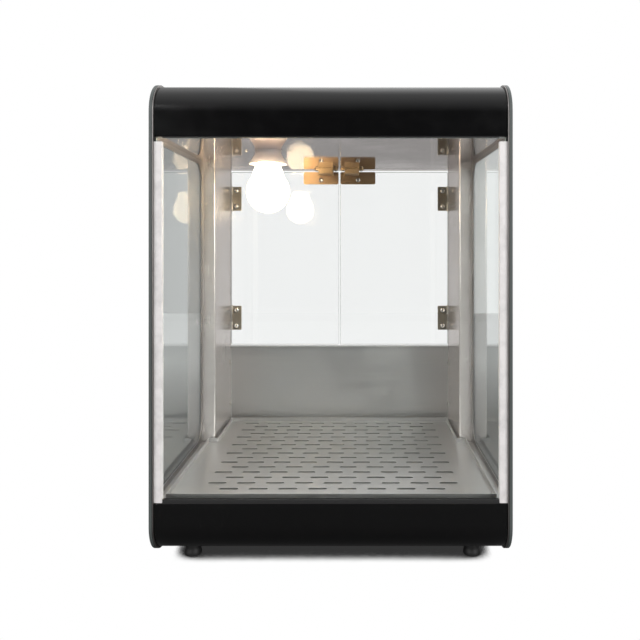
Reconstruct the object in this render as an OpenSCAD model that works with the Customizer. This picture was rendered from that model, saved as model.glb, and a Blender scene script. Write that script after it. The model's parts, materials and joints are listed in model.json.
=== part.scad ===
// Hot food display case: a glazed cabinet with a lamp in its hood, a heated
// crumb drawer in its base and two clear push-latch doors at the rear.
// Millimetres, +Z up, front facing -Y, origin on the table under the middle.

/* [Case] */
// Overall width over the end panes
case_w = 440; // [400:5:620]
// Overall depth of the end panes
case_d = 390; // [350:5:560]
// Overall height from the table
case_h = 600; // [480:5:760]
// Height of the base housing
base_h = 68; // [66:1:110]
// Height of the hood housing
hood_h = 70; // [66:0.5:110]
// How far the end panes stand proud of the hood and base skins
proud = 2.5; // [1:0.5:6]
// Corner radius at the front of the end panes
front_r = 40; // [20:1:45]
// Corner radius at the rear of the end panes
rear_r = 12; // [4:1:18]
// How far the rear plane lies in from the end panes' rear edge
rear_recess = 10; // [9:0.5:20]
// How far the control panel lies in from the end panes' rear edge
panel_recess = 19; // [19:0.5:30]

/* [Sheet metal] */
// Thickness of the black outer skins
skin_t = 1.2; // [1:0.1:2]
// Thickness of the inner stainless sheets
sheet_t = 1; // [0.8:0.1:1.5]
// Width of each rear post
post_w = 19.5; // [17:0.5:40]
// Depth of each rear post, front to rear
post_d = 130; // [40:5:160]
// Height of the lower rear panel above the base
sill_h = 132; // [60:1:220]

/* [Glazing] */
// Thickness of the end panes
end_glass_t = 4; // [3:0.5:6]
// Thickness of the front pane
front_glass_t = 4; // [3:0.5:6]
// Thickness of the black bonding gasket behind each end pane
gasket_t = 0.5; // [0.5:0.1:1.5]
// Width of the frame left over and under the side windows
window_margin = 6; // [4:1:30]
// Corner radius of the side windows
window_r = 24; // [6:1:40]
// Width of the clear strips in the front corners
strip_w = 10; // [8:0.5:16]

/* [Doors] */
// Thickness of the door panes
door_t = 4; // [3:0.5:6]
// Gap between a door and its jamb
door_side_gap = 1.5; // [1:0.1:3]
// Gap between the two doors
door_meet_gap = 2; // [1:0.5:4]
// Gap between a door and the ceiling
door_top_gap = 2.5; // [1.5:0.5:5]
// Height of a hinge
hinge_h = 43; // [36:1:60]
// Width of the hinge leaf that lies on a door
door_leaf_w = 18.5; // [17:0.5:30]
// Distance from a hinge's middle to the nearer end of its door
hinge_inset = 47.5; // [30:0.5:80]

/* [Lamp] */
// Distance of the lamp's axis from the middle, towards the left
lamp_offset = 93; // [0:1:110]
// Distance of the lamp's axis behind the front
lamp_back = 127; // [70:1:200]
// Greatest diameter of the bulb
bulb_d = 60; // [45:1:70]
// Length of the bulb's glass
bulb_len = 77; // [70:1:90]

/* [Base fittings] */
// Height of each foot
foot_h = 18; // [12:1:30]
// Distance of a front foot's axis behind the front
foot_front = 56; // [50:1:90]
// Distance of a rear foot's axis from the end panes' rear edge
foot_rear = 50; // [45:1:70]
// Distance of each foot's axis from the end panes' outer faces
foot_side = 40; // [25:1:70]

/* [Hidden] */
$fn = 48;

// Case planes
half_w = case_w / 2;
half_d = case_d / 2;
in_x = half_w - end_glass_t - gasket_t - sheet_t;
front_y = -half_d + proud;
rear_y = half_d - rear_recess;
panel_y = half_d - panel_recess;
skin_lo = foot_h + proud;
skin_hi = case_h - proud;
base_top = foot_h + base_h;
hood_lo = case_h - hood_h;
arc_r = front_r - proud;
arc_y = -half_d + front_r;
arc_low_z = foot_h + front_r;
arc_top_z = case_h - front_r;

// Base levels
pan_z = skin_lo + skin_t;
pan_top = pan_z + sheet_t;
deck_top = base_top - skin_t;
deck_z = deck_top - sheet_t;
front_lap = 45;
rear_lap = 54;
base_lip = 12;
pan_flange = 12;

// Hood levels
hood_lip = 8;
ceiling_rise = 0.2;
ceil_z = hood_lo + ceiling_rise;
ceil_top = ceil_z + sheet_t;
ceil_flange = 14;
hood_rear_flange = 14;

// Rear frame
jamb_x = in_x - post_w;
post_y = rear_y - post_d;
sill_z = base_top + sill_h;
panel_flange = 14;
window_front = 14;
window_rear = 10;

// Front glazing
channel_d = front_glass_t + 4;
channel_wall = 2;
channel_fit = 0.1;
glass_y = front_y + channel_wall + channel_fit;
glass_hx = in_x - channel_wall - 0.2;
seal_floor = 2;
seal_leg = 4;
seal_wall = 1.2;
top_seal_floor = 1;
top_seal_leg = 1.4;
strip_top_gap = 6;
glass_lo = base_top + seal_floor;
glass_hi = hood_lo - top_seal_floor;
strip_hi = hood_lo - strip_top_gap;

// Floor tray and crumb drawer
tray_gap = 3;
tray_side = 10.5;
tray_rear_side = 5;
tray_rim_h = 7.2;
tray_y0 = front_y + base_lip + tray_gap;
tray_y1 = rear_y - panel_flange - tray_gap;
tray_notch_y = post_y - 5;
tray_hx = in_x - tray_side;
tray_rear_hx = jamb_x - tray_rear_side;
deck_rest = 9;
deck_open_hx = tray_rear_hx - deck_rest;
deck_open_y0 = tray_y0 + deck_rest;
deck_open_y1 = tray_y1 - deck_rest;
slot_l = 24;
slot_w = 5;
slot_pitch_x = 38;
slot_pitch_y = 20;
guide_z = deck_z - 23.8;
guide_hx = deck_open_hx + 4;
guide_foot = 10;
drawer_gap = 0.3;
drawer_hx = guide_hx - 1.5;
drawer_z = guide_z + sheet_t + drawer_gap;
drawer_h = 17;
drawer_y0 = deck_open_y0;
drawer_face_t = 1;
drawer_face_gap = 0.2;
drawer_pull = 12;

// Feet
foot_x = half_w - foot_side;
foot_y0 = -half_d + foot_front;
foot_y1 = half_d - foot_rear;
foot_r = 11;
foot_top_r = 9.5;
foot_total = skin_lo;
foot_seat = 7;
foot_screw_r = 2.4;
foot_hole_r = 2.7;

// Doors, hinges and latches
door_hinge_x = jamb_x - door_side_gap;
door_meet_x = door_meet_gap / 2;
door_lo = sill_z + 1.5;
door_hi = ceil_z - door_top_gap;
barrel_r = 3;
pin_r = 1.25;
pin_fit = 0.05;
leaf_t = 1.5;
leaf_lift = 0.2;
hinge_x = jamb_x - door_side_gap / 2;
hinge_y = rear_y + barrel_r + leaf_lift;
frame_leaf_w = post_w - 1.5;
knuckle_gap = 0.2;
hinge_zs = [door_lo + hinge_inset, door_hi - hinge_inset];
hinge_screw_z = 14;
door_leaf_edge = 8.5;
frame_leaf_edge = 6;
small_screw_r = 1.9;
small_hole_r = 2.1;
small_head_r = 4.2;
small_head_h = 2.3;
thin_screw_r = 1.6;
thin_hole_r = 1.75;
thin_head_r = 2.8;
thin_head_h = 1.8;
nut_h = 3;
nut_r = 3.9;
strike_t = 1.2;
strike_h = 22;
strike_w = 62;
strike_r = 3;
strike_x0 = door_meet_x + 1;
strike_screw_x = strike_x0 + strike_w / 2;
strike_screw_z = door_hi - 14.5;
strike_y = rear_y - door_t - strike_t;
latch_w = 25;
latch_h = 10;
latch_l = 38;
latch_x = 22.5;
latch_stand = 7;
latch_y1 = strike_y - latch_stand;
latch_z = ceil_z - latch_h / 2;
plunger_r = 3.4;
plunger_fit = 0.05;
plunger_gap = 0.3;
plunger_l = 36;
latch_ear_l = 8;
latch_ear_w = 9;
latch_ear_t = 2.5;
latch_rim = 1.6;
latch_sink = 1;
latch_screw_dx = 16.5;

// Lamp
lamp_x = -lamp_offset;
lamp_y = -half_d + lamp_back;
socket_body_r = 19.5;
socket_body_h = 35;
socket_neck_r = 15.5;
socket_bore_r = 13.9;
socket_bore_top = ceil_top + 21;
skirt_drop = 19;
skirt_top_r = 18.3;
skirt_low_r = 26.5;
skirt_fit = 0.2;
neck_lo = ceil_z - 17;
neck_r = 12.4;
cap_r = 13;
cap_wall = 0.4;
cap_lo = neck_lo + 0.5;
cap_len = 26;
bulb_r = bulb_d / 2;
bulb_lo = cap_lo + 6.5 - bulb_len;
bulb_glass_t = 1;
bracket_hx = 38;
bracket_hy = 25;
bracket_t = 1.5;
lamp_screw_dx = 31;

// Controls on the rear of the base
control_z = skin_lo + 20.5;
knob_x = 60;
knob_r = 17;
knob_h = 14;
knob_gap = 2;
shaft_r = 3;
shaft_fit = 0.06;
bush_r = 5;
stat_w = 34;
stat_d = 23;
pilot_x = 92;
pilot_r = 5;
heat_switch_x = 122;
light_switch_x = 156;
switch_w = 22;
switch_h = 30;
switch_d = 22;
bezel_over = 2;
bezel_t = 2;
rocker_w = 17.2;
rocker_fit = 0.4;
rocker_tilt = 7;
rocker_pin_r = 1.5;
rocker_pin_fit = 0.06;
rocker_sink = 3;
gland_x = -160;
gland_r = 10;
gland_bore_r = 4;

// Heater and wiring inside the base
heater_z = 46 - 20.5 + skin_lo;
heater_r = 3.25;
heater_pitch = 60;
heater_y0 = -120;
heater_bend_x = 120;
heater_end_x = 150;
bracket_xs = [-80, 80];
block_x = -120;
block_y = 125;
cable_x = -in_x + post_w / 2;
cable_y = 120;
cable_r = 2.5;
cable_hole_r = 5;

// A box between two corners
module block(lo, hi) translate(lo) cube(hi - lo);

// A plate in the YZ plane, with its thickness towards +X
module yz(t) rotate([90, 0, 90]) linear_extrude(t) children();

// A plate in the XZ plane, with its thickness towards +Y
module xz(t) translate([0, t, 0]) rotate([90, 0, 0]) linear_extrude(t) children();

// Rods along each axis, from one value to another
module rod_x(x0, x1, y, z, r) translate([x0, y, z]) rotate([0, 90, 0]) cylinder(r = r, h = x1 - x0);
module rod_y(x, y0, y1, z, r) translate([x, y0, z]) rotate([-90, 0, 0]) cylinder(r = r, h = y1 - y0);
module rod_z(x, y, z0, z1, r) translate([x, y, z0]) cylinder(r = r, h = z1 - z0);

// A rectangle with round corners, from its lower left corner
module round_rect(w, h, r) {
    translate([r, 0]) square([w - 2 * r, h]);
    translate([0, r]) square([w, h - 2 * r]);
    for (cx = [r, w - r], cy = [r, h - r]) translate([cx, cy]) circle(r);
}

// A slot with round ends, centred
module slot_2d(l, w) {
    square([l - w, w], center = true);
    for (s = [-1, 1]) translate([s * (l - w) / 2, 0]) circle(w / 2);
}

// A grid of slots, every second row set off by half a pitch
module slot_grid(columns, rows, pitch_x, pitch_y)
    for (row = [0:rows - 1]) {
        shift = row % 2 == 0 ? 0 : 0.5;
        for (column = [0:columns - 1 - row % 2])
            translate([(column - (columns - 1) / 2 + shift) * pitch_x, (row - (rows - 1) / 2) * pitch_y])
                slot_2d(slot_l, slot_w);
    }

// A low dome standing on the plane z = 0
module dome(r, h) {
    ball_r = (r * r + h * h) / (2 * h);
    intersection() {
        translate([0, 0, h - ball_r]) sphere(ball_r);
        translate([-ball_r, -ball_r, 0]) cube([2 * ball_r, 2 * ball_r, ball_r]);
    }
}

// A screw with its seat at z = 0, its dome above and its shank below
module screw(shank, r = small_screw_r, head_r = small_head_r, head_h = small_head_h) {
    rim = 0.5;
    difference() {
        union() {
            cylinder(r = head_r, h = rim);
            translate([0, 0, rim]) dome(head_r, head_h - rim);
        }
        translate([0, 0, head_h - 1.1]) for (turn = [0, 90])
            rotate([0, 0, turn]) translate([-head_r * 0.55, -0.4, 0]) cube([head_r * 1.1, 0.8, 1.2]);
    }
    translate([0, 0, -shank]) cylinder(r = r, h = shank);
}

module thin_screw(shank) screw(shank, thin_screw_r, thin_head_r, thin_head_h);

// A hexagon nut with its seat at z = 0
module nut(r, hole_r, h) difference() {
    cylinder(r = r, h = h, $fn = 6);
    translate([0, 0, -1]) cylinder(r = hole_r, h = h + 2);
}

module face_rear() rotate([-90, 0, 0]) children();
module face_front() rotate([90, 0, 0]) children();
module face_down() rotate([180, 0, 0]) children();

// Left and right halves share their modules through a mirror
module on_side(side) scale([side, 1, 1]) children();

// A tube swept along a smoothed route
function unit(v) = v / norm(v);
function smooth(p) = concat([p[0]],
    [for (i = [0:len(p) - 2]) each [p[i] * 0.75 + p[i + 1] * 0.25, p[i] * 0.25 + p[i + 1] * 0.75]],
    [p[len(p) - 1]]);
function heading(p, i) = unit(p[min(i + 1, len(p) - 1)] - p[max(i - 1, 0)]);
function across(v, along) = unit(v - (v * along) * along);
function sides_of(p, start) = [for (i = 0, n = across(start, heading(p, 0)); i < len(p);
    i = i + 1, n = i < len(p) ? across(n, heading(p, i)) : n) n];
module tube(route, r, start, sides = 8) {
    p = smooth(smooth(route));
    s = sides_of(p, start);
    last = len(p) - 1;
    points = [for (i = [0:last], k = [0:sides - 1])
        p[i] + r * (cos(k * 360 / sides) * s[i] + sin(k * 360 / sides) * cross(heading(p, i), s[i]))];
    walls = [for (i = [0:last - 1], k = [0:sides - 1]) let (n = (k + 1) % sides)
        [i * sides + k, (i + 1) * sides + k, (i + 1) * sides + n, i * sides + n]];
    ends = [[for (k = [0:sides - 1]) k], [for (k = [sides - 1:-1:0]) last * sides + k]];
    polyhedron(points, concat(walls, ends));
}

// Outline of an end pane in the YZ plane
module end_outline() {
    h = case_h - foot_h;
    translate([-half_d + front_r, foot_h]) square([case_d - front_r - rear_r, h]);
    translate([-half_d, foot_h + front_r]) square([front_r, h - 2 * front_r]);
    translate([half_d - rear_r, foot_h + rear_r]) square([rear_r, h - 2 * rear_r]);
    for (z = [arc_low_z, arc_top_z]) translate([arc_y, z]) circle(front_r);
    for (z = [foot_h + rear_r, case_h - rear_r]) translate([half_d - rear_r, z]) circle(rear_r);
}

// Window in the side frame and gasket
module window_outline() {
    y0 = -half_d + window_front;
    y1 = post_y - window_rear;
    z0 = base_top + window_margin;
    z1 = ceil_z - window_margin;
    translate([y0, z0]) round_rect(y1 - y0, z1 - z0, window_r);
}

// Quarter of a bent skin round a front corner; up is 1 for the hood, -1 for the base
module bent_skin(z, up) intersection() {
    translate([arc_y, z]) difference() {
        circle(arc_r);
        circle(arc_r - skin_t);
    }
    translate([arc_y - arc_r, up > 0 ? z : z - arc_r]) square(arc_r);
}

module foot_holes(r) for (x = [-foot_x, foot_x], y = [foot_y0, foot_y1])
    rod_z(x, y, 0, pan_top + 10, r);

// Base housing

module base_fascia() color("#17171a") difference() {
    translate([-in_x, 0, 0]) yz(2 * in_x) {
        translate([front_y, arc_low_z]) square([skin_t, base_top - arc_low_z]);
        translate([front_y, base_top - skin_t]) square([base_lip, skin_t]);
        translate([arc_y, skin_lo]) square([front_lap, skin_t]);
        bent_skin(arc_low_z, -1);
    }
    foot_holes(foot_hole_r);
}

module base_pan() color("#8d9094") {
    pan_y0 = arc_y + 2;
    pan_y1 = panel_y - skin_t;
    difference() {
        block([-in_x, pan_y0, pan_z], [in_x, pan_y1, pan_top]);
        foot_holes(foot_hole_r);
        translate([0, 0, pan_z - 1]) linear_extrude(sheet_t + 2) slot_grid(6, 7, slot_pitch_x, slot_pitch_y);
    }
    for (side = [-1, 1]) on_side(side)
        block([in_x - sheet_t, pan_y0, pan_top], [in_x, pan_y1, pan_top + pan_flange]);
}

module rear_control_panel() color("#1b1b1e") difference() {
    union() {
        block([-in_x, panel_y - skin_t, skin_lo], [in_x, panel_y, deck_z]);
        block([-in_x, panel_y - skin_t - rear_lap, skin_lo], [in_x, panel_y - skin_t, pan_z]);
    }
    block([-drawer_hx - 1, panel_y - 5, guide_z], [drawer_hx + 1, panel_y + 5, deck_z + 5]);
    foot_holes(foot_hole_r);
    for (x = [heat_switch_x, light_switch_x])
        block([x - switch_w / 2 - 0.1, panel_y - 5, control_z - switch_h / 2 - 0.1],
            [x + switch_w / 2 + 0.1, panel_y + 5, control_z + switch_h / 2 + 0.1]);
    rod_y(knob_x, panel_y - 5, panel_y + 5, control_z, bush_r + 0.1);
    rod_y(pilot_x, panel_y - 5, panel_y + 5, control_z, pilot_r + 0.1);
    rod_y(gland_x, panel_y - 5, panel_y + 5, control_z, gland_r - 1.9);
}

module deck_plate() color("#b9bcc0") difference() {
    block([-in_x, front_y + skin_t, deck_z], [in_x, rear_y, deck_top]);
    block([-deck_open_hx, deck_open_y0, deck_z - 1], [deck_open_hx, deck_open_y1, deck_top + 1]);
    rod_z(cable_x, cable_y, deck_z - 1, deck_top + 1, cable_hole_r);
}

module tray_guides() color("#9a9da1") for (side = [-1, 1]) on_side(side) {
    y1 = panel_y - skin_t - 2;
    block([guide_hx, drawer_y0, guide_z], [guide_hx + sheet_t, y1, deck_z]);
    block([guide_hx - guide_foot, drawer_y0, guide_z], [guide_hx, y1, guide_z + sheet_t]);
}

// Outline of the floor tray, drawn in by an inset
module tray_outline(inset) {
    translate([-tray_hx + inset, tray_y0 + inset])
        square([2 * (tray_hx - inset), tray_notch_y - tray_y0 - 2 * inset]);
    translate([-tray_rear_hx + inset, tray_y0 + inset])
        square([2 * (tray_rear_hx - inset), tray_y1 - tray_y0 - 2 * inset]);
}

module floor_tray() color("#c3c6ca") {
    columns = floor((2 * deck_open_hx - slot_l) / slot_pitch_x) + 1;
    rows = floor((deck_open_y1 - deck_open_y0 - slot_w) / slot_pitch_y) + 1;
    translate([0, 0, deck_top]) linear_extrude(sheet_t) difference() {
        tray_outline(0);
        translate([0, (deck_open_y0 + deck_open_y1) / 2])
            slot_grid(columns, rows, slot_pitch_x, slot_pitch_y);
    }
    translate([0, 0, deck_top + sheet_t]) linear_extrude(tray_rim_h - sheet_t) difference() {
        tray_outline(0);
        tray_outline(sheet_t);
    }
}

module crumb_tray() color("#aeb1b5") {
    face_y = panel_y + drawer_face_gap;
    face_top = deck_z - 0.6;
    difference() {
        block([-drawer_hx, drawer_y0, drawer_z], [drawer_hx, face_y, drawer_z + drawer_h]);
        block([-drawer_hx + sheet_t, drawer_y0 + sheet_t, drawer_z + sheet_t],
            [drawer_hx - sheet_t, face_y - sheet_t, drawer_z + drawer_h + 1]);
    }
    block([-drawer_hx - 6, face_y, guide_z - 1], [drawer_hx + 6, face_y + drawer_face_t, face_top]);
    block([-drawer_hx / 3, face_y + drawer_face_t, face_top - sheet_t],
        [drawer_hx / 3, face_y + drawer_pull, face_top]);
    block([-drawer_hx / 3, face_y + drawer_pull - sheet_t, face_top - 7],
        [drawer_hx / 3, face_y + drawer_pull, face_top - sheet_t]);
}

module rubber_feet() color("#101010") for (x = [-foot_x, foot_x], y = [foot_y0, foot_y1])
    translate([x, y, 0]) difference() {
        union() {
            cylinder(r = foot_r, h = 4);
            translate([0, 0, 4]) cylinder(r1 = foot_r, r2 = foot_top_r, h = 4, $fn = 48);
            translate([0, 0, 8]) cylinder(r = foot_top_r, h = foot_total - 8);
        }
        translate([0, 0, -1]) cylinder(r = 5.2, h = foot_seat + 1);
        translate([0, 0, -1]) cylinder(r = foot_hole_r, h = foot_total + 2);
    }

module foot_fasteners() color("#c9c9c9") for (x = [-foot_x, foot_x], y = [foot_y0, foot_y1]) {
    translate([x, y, foot_seat - 3.5]) cylinder(r = 4.6, h = 3.5, $fn = 6);
    rod_z(x, y, foot_seat, pan_top + 5, foot_screw_r);
    translate([x, y, pan_top]) nut(4.8, foot_screw_r + 0.1, 4);
}

// Hood

module hood_shell() color("#141416") difference() {
    translate([-in_x, 0, 0]) yz(2 * in_x) {
        translate([front_y, hood_lo]) square([skin_t, arc_top_z - hood_lo]);
        translate([front_y, hood_lo]) square([hood_lip, skin_t]);
        translate([arc_y, skin_hi - skin_t]) square([rear_y - arc_y, skin_t]);
        translate([rear_y - skin_t, skin_hi - hood_rear_flange]) square([skin_t, hood_rear_flange]);
        bent_skin(arc_top_z, 1);
    }
    hood_screw_holes();
}

module hood_rear_panel() color("#1b1b1e") difference() {
    translate([-in_x, rear_y - 2 * skin_t, 0]) xz(skin_t) difference() {
        translate([0, ceil_top]) square([2 * in_x, skin_hi - skin_t - ceil_top]);
        translate([in_x, ceil_top + 26]) slot_grid(6, 3, slot_pitch_x, 12);
    }
    hood_screw_holes();
}

hood_screw_xs = [-in_x + 30, -in_x / 3, in_x / 3, in_x - 30];
hood_screw_z = skin_hi - 8;
module hood_screw_holes() for (x = hood_screw_xs)
    rod_y(x, rear_y - 10, rear_y + 5, hood_screw_z, small_hole_r);

module ceiling_panel() color("#c9ccd0") {
    y0 = front_y + hood_lip + 0.5;
    y1 = rear_y - 2 * skin_t;
    difference() {
        block([-in_x, y0, ceil_z], [in_x, rear_y, ceil_top]);
        rod_z(lamp_x, lamp_y, ceil_z - 1, ceil_top + 1, socket_neck_r + 0.3);
        rod_z(cable_x, cable_y, ceil_z - 1, ceil_top + 1, cable_hole_r);
        ceiling_screw_holes();
    }
    for (side = [-1, 1]) on_side(side)
        block([in_x - sheet_t, y0, ceil_top], [in_x, y1 - 0.5, ceil_top + ceil_flange]);
}

latch_screw_y = latch_y1 - latch_l / 2;
module lamp_screw_places() for (s = [-1, 1])
    translate([lamp_x + s * lamp_screw_dx, lamp_y, ceil_z]) children();
module latch_screw_places(side) for (s = [-1, 1])
    translate([side * latch_x + s * latch_screw_dx, latch_screw_y, ceil_z]) children();
module thin_screw_hole(z0, z1) rod_z(0, 0, z0, z1, thin_hole_r);
module ceiling_screw_holes() {
    lamp_screw_places() thin_screw_hole(-1, sheet_t + 1);
    for (side = [-1, 1]) latch_screw_places(side) thin_screw_hole(-1, sheet_t + 1);
}

// Side walls

module side_plate(side, x0, x1, windowed) on_side(side) translate([x0, 0, 0]) yz(x1 - x0)
    difference() {
        end_outline();
        if (windowed) window_outline();
    }

module side_frame(side) color("#a5a19c") side_plate(side, in_x, in_x + sheet_t, true);
module side_frame_left() side_frame(-1);
module side_frame_right() side_frame(1);

module side_gaskets() color("#0c0c0d") for (side = [-1, 1])
    side_plate(side, in_x + sheet_t, in_x + sheet_t + gasket_t, true);

module side_glass(side) color("#cfe4dc", 0.35) side_plate(side, half_w - end_glass_t, half_w, false);
module side_glass_left() side_glass(-1);
module side_glass_right() side_glass(1);

// Front glazing

module front_glass() color("#d9ece6", 0.3)
    block([-glass_hx, glass_y, glass_lo], [glass_hx, glass_y + front_glass_t, glass_hi]);

module glass_seal(z0, z1, floor_z0, floor_z1) {
    hx = in_x - strip_w - 0.2;
    difference() {
        block([-hx, glass_y - seal_wall, z0], [hx, glass_y + front_glass_t + seal_wall, z1]);
        block([-hx - 1, glass_y, floor_z0], [hx + 1, glass_y + front_glass_t, floor_z1]);
    }
}

module front_glass_seals() color("#0b0b0c") {
    glass_seal(base_top, base_top + seal_leg, glass_lo, base_top + seal_leg + 1);
    glass_seal(hood_lo - top_seal_leg, hood_lo, hood_lo - top_seal_leg - 1, glass_hi);
    for (side = [-1, 1]) on_side(side)
        block([in_x - channel_wall, front_y, strip_hi], [in_x, front_y + channel_d, hood_lo]);
}

module corner_strip(side) color("#eef3f2", 0.6) on_side(side) difference() {
    block([in_x - strip_w, front_y, base_top], [in_x, front_y + channel_d, strip_hi]);
    block([in_x - strip_w - 1, glass_y - channel_fit, base_top - 1],
        [in_x - channel_wall, glass_y + front_glass_t + channel_fit, strip_hi + 1]);
}
module corner_strip_left() corner_strip(-1);
module corner_strip_right() corner_strip(1);

// Rear frame

module rear_post(side) color("#c0c0c0") on_side(side) difference() {
    translate([0, 0, deck_top]) linear_extrude(ceil_z - deck_top) {
        translate([jamb_x, post_y]) square([post_w, sheet_t]);
        translate([jamb_x, post_y]) square([sheet_t, post_d]);
        translate([jamb_x, rear_y - sheet_t]) square([post_w, sheet_t]);
    }
    frame_leaf_holes(1);
    lower_panel_holes(1);
}
module rear_post_left() rear_post(-1);
module rear_post_right() rear_post(1);

lower_screw_zs = [deck_top + 30, sill_z - 30];
lower_screw_y = rear_y - panel_flange / 2 - sheet_t / 2;
module lower_panel_holes(side) for (z = lower_screw_zs)
    on_side(side) rod_x(jamb_x - 5, jamb_x + 5, lower_screw_y, z, small_hole_r);

module rear_lower_panel() color("#b7b9bc") difference() {
    block([-jamb_x, rear_y - panel_flange, deck_top], [jamb_x, rear_y, sill_z]);
    block([-jamb_x + sheet_t, rear_y - panel_flange - 1, deck_top + sheet_t],
        [jamb_x - sheet_t, rear_y - sheet_t, sill_z - sheet_t]);
    for (side = [-1, 1]) lower_panel_holes(side);
}

module panel_screws() color("#d0d0d0") {
    for (x = hood_screw_xs) translate([x, rear_y, hood_screw_z]) face_rear() screw(8);
    for (side = [-1, 1], z = lower_screw_zs) on_side(side)
        translate([jamb_x - sheet_t, lower_screw_y, z]) rotate([0, -90, 0]) screw(7);
}

// Hinges: local frame has the pin on Z and the leaf running to -X

module hinge_leaf(width, middle) {
    third = hinge_h / 3;
    back = -(barrel_r + leaf_lift);
    root = -(barrel_r + 0.3);
    zs = middle ? [0] : [-third, third];
    reach = third / 2 - knuckle_gap / 2;
    difference() {
        union() {
            block([-width, back, -hinge_h / 2], [root, back + leaf_t, hinge_h / 2]);
            for (z = zs) {
                lo = middle ? z - reach : (z < 0 ? -hinge_h / 2 : z - reach);
                hi = middle ? z + reach : (z < 0 ? z + reach : hinge_h / 2);
                block([root, back, lo], [0, back + leaf_t, hi]);
                translate([0, 0, lo]) cylinder(r = barrel_r, h = hi - lo);
            }
        }
        translate([0, 0, -hinge_h]) cylinder(r = pin_r + pin_fit, h = 2 * hinge_h);
        for (z = [-hinge_screw_z, hinge_screw_z])
            rod_y(-width + leaf_edge(middle), back - 1, back + leaf_t + 1, z, small_hole_r);
    }
}
function leaf_edge(middle) = middle ? door_leaf_edge : frame_leaf_edge;

module at_hinges(side) for (z = hinge_zs) on_side(side) translate([hinge_x, hinge_y, z]) children();

module hinge_frame_leaves() color("#b8b2a6") for (side = [-1, 1])
    at_hinges(side) mirror([1, 0, 0]) hinge_leaf(frame_leaf_w, false);

frame_screw_x = hinge_x + frame_leaf_w - leaf_edge(false);
module frame_leaf_holes(side) for (z = hinge_zs, s = [-1, 1]) on_side(side)
    rod_y(frame_screw_x, rear_y - 5, rear_y + 5, z + s * hinge_screw_z, small_hole_r);

module hinge_frame_screws() color("#d6d2c8") for (side = [-1, 1], z = hinge_zs, s = [-1, 1])
    on_side(side) translate([frame_screw_x, rear_y + leaf_t, z + s * hinge_screw_z])
        face_rear() screw(7);

module hinge_pins() color("#9c968a") for (side = [-1, 1]) at_hinges(side) {
    translate([0, 0, -hinge_h / 2 - 1]) cylinder(r = pin_r, h = hinge_h + 2);
    for (z = [-hinge_h / 2 - 1, hinge_h / 2]) translate([0, 0, z]) cylinder(r = 2.2, h = 1);
}

// Doors

door_screw_x = hinge_x - door_leaf_w + leaf_edge(true);
module door_hole_places() {
    for (z = hinge_zs, s = [-1, 1]) translate([door_screw_x, 0, z + s * hinge_screw_z]) children();
    translate([strike_screw_x, 0, strike_screw_z]) children();
}

module door_pane(side) color("#dcefee", 0.3) on_side(side) difference() {
    translate([door_meet_x, rear_y - door_t, door_lo]) xz(door_t)
        round_rect(door_hinge_x - door_meet_x, door_hi - door_lo, 2);
    door_hole_places() rod_y(0, rear_y - door_t - 1, rear_y + 1, 0, small_hole_r);
}
module door_pane_left() door_pane(-1);
module door_pane_right() door_pane(1);

module door_leaves(side) color("#b8b2a6") at_hinges(side) hinge_leaf(door_leaf_w, true);
module door_leaves_left() door_leaves(-1);
module door_leaves_right() door_leaves(1);

module door_fasteners(side) color("#d6d2c8") on_side(side) {
    for (z = hinge_zs, s = [-1, 1]) translate([door_screw_x, 0, z + s * hinge_screw_z]) {
        translate([0, rear_y - door_t, 0]) face_front() screw(door_t + leaf_t + nut_h);
        translate([0, rear_y + leaf_t, 0]) face_rear() nut(nut_r, small_screw_r + 0.1, nut_h);
    }
    translate([strike_screw_x, 0, strike_screw_z]) {
        translate([0, strike_y, 0]) face_front() screw(door_t + strike_t + nut_h);
        translate([0, rear_y, 0]) face_rear() nut(nut_r, small_screw_r + 0.1, nut_h);
    }
}
module door_fasteners_left() door_fasteners(-1);
module door_fasteners_right() door_fasteners(1);

module strike_plate(side) color("#a89a88") on_side(side) difference() {
    translate([strike_x0, strike_y, door_hi - strike_h]) xz(strike_t)
        round_rect(strike_w, strike_h, strike_r);
    rod_y(strike_screw_x, strike_y - 1, rear_y, strike_screw_z, small_hole_r);
}
module strike_plate_left() strike_plate(-1);
module strike_plate_right() strike_plate(1);

module latch_body(side) color("#cfcfcd") difference() {
    on_side(side) {
        half = latch_w / 2;
        y0 = latch_y1 - latch_l;
        ear = half + latch_ear_l;
        difference() {
            block([latch_x - half, y0, ceil_z - latch_h], [latch_x + half, latch_y1, ceil_z]);
            block([latch_x - half + latch_rim, y0 - 1, ceil_z - latch_h + latch_rim],
                [latch_x + half - latch_rim, y0 + latch_sink, ceil_z - latch_rim]);
            rod_y(latch_x, strike_y - plunger_gap - plunger_l - 5, latch_y1 + 1, latch_z,
                plunger_r + plunger_fit);
        }
        for (x = [[-ear, -half], [half, ear]])
            block([latch_x + x[0], latch_screw_y - latch_ear_w / 2, ceil_z - latch_ear_t],
                [latch_x + x[1], latch_screw_y + latch_ear_w / 2, ceil_z]);
    }
    latch_screw_places(side) thin_screw_hole(-latch_ear_t - 1, 1);
}
module latch_body_left() latch_body(-1);
module latch_body_right() latch_body(1);

module latch_plunger(side) color("#e2e2e0") on_side(side) {
    tip_y = strike_y - plunger_gap;
    rod_y(latch_x, tip_y - plunger_l, tip_y - 1, latch_z, plunger_r);
    translate([latch_x, tip_y - 1, latch_z]) face_rear()
        cylinder(r1 = plunger_r, r2 = plunger_r - 0.6, h = 1);
}
module latch_plunger_left() latch_plunger(-1);
module latch_plunger_right() latch_plunger(1);

// Lamp

module lamp_bracket() color("#a9acb0") translate([lamp_x, lamp_y, ceil_top]) difference() {
    block([-bracket_hx, -bracket_hy, 0], [bracket_hx, bracket_hy, bracket_t]);
    translate([0, 0, -1]) cylinder(r = socket_body_r + 0.3, h = bracket_t + 2);
    for (s = [-1, 1]) translate([s * lamp_screw_dx, 0, 0]) thin_screw_hole(-1, bracket_t + 1);
}

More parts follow.
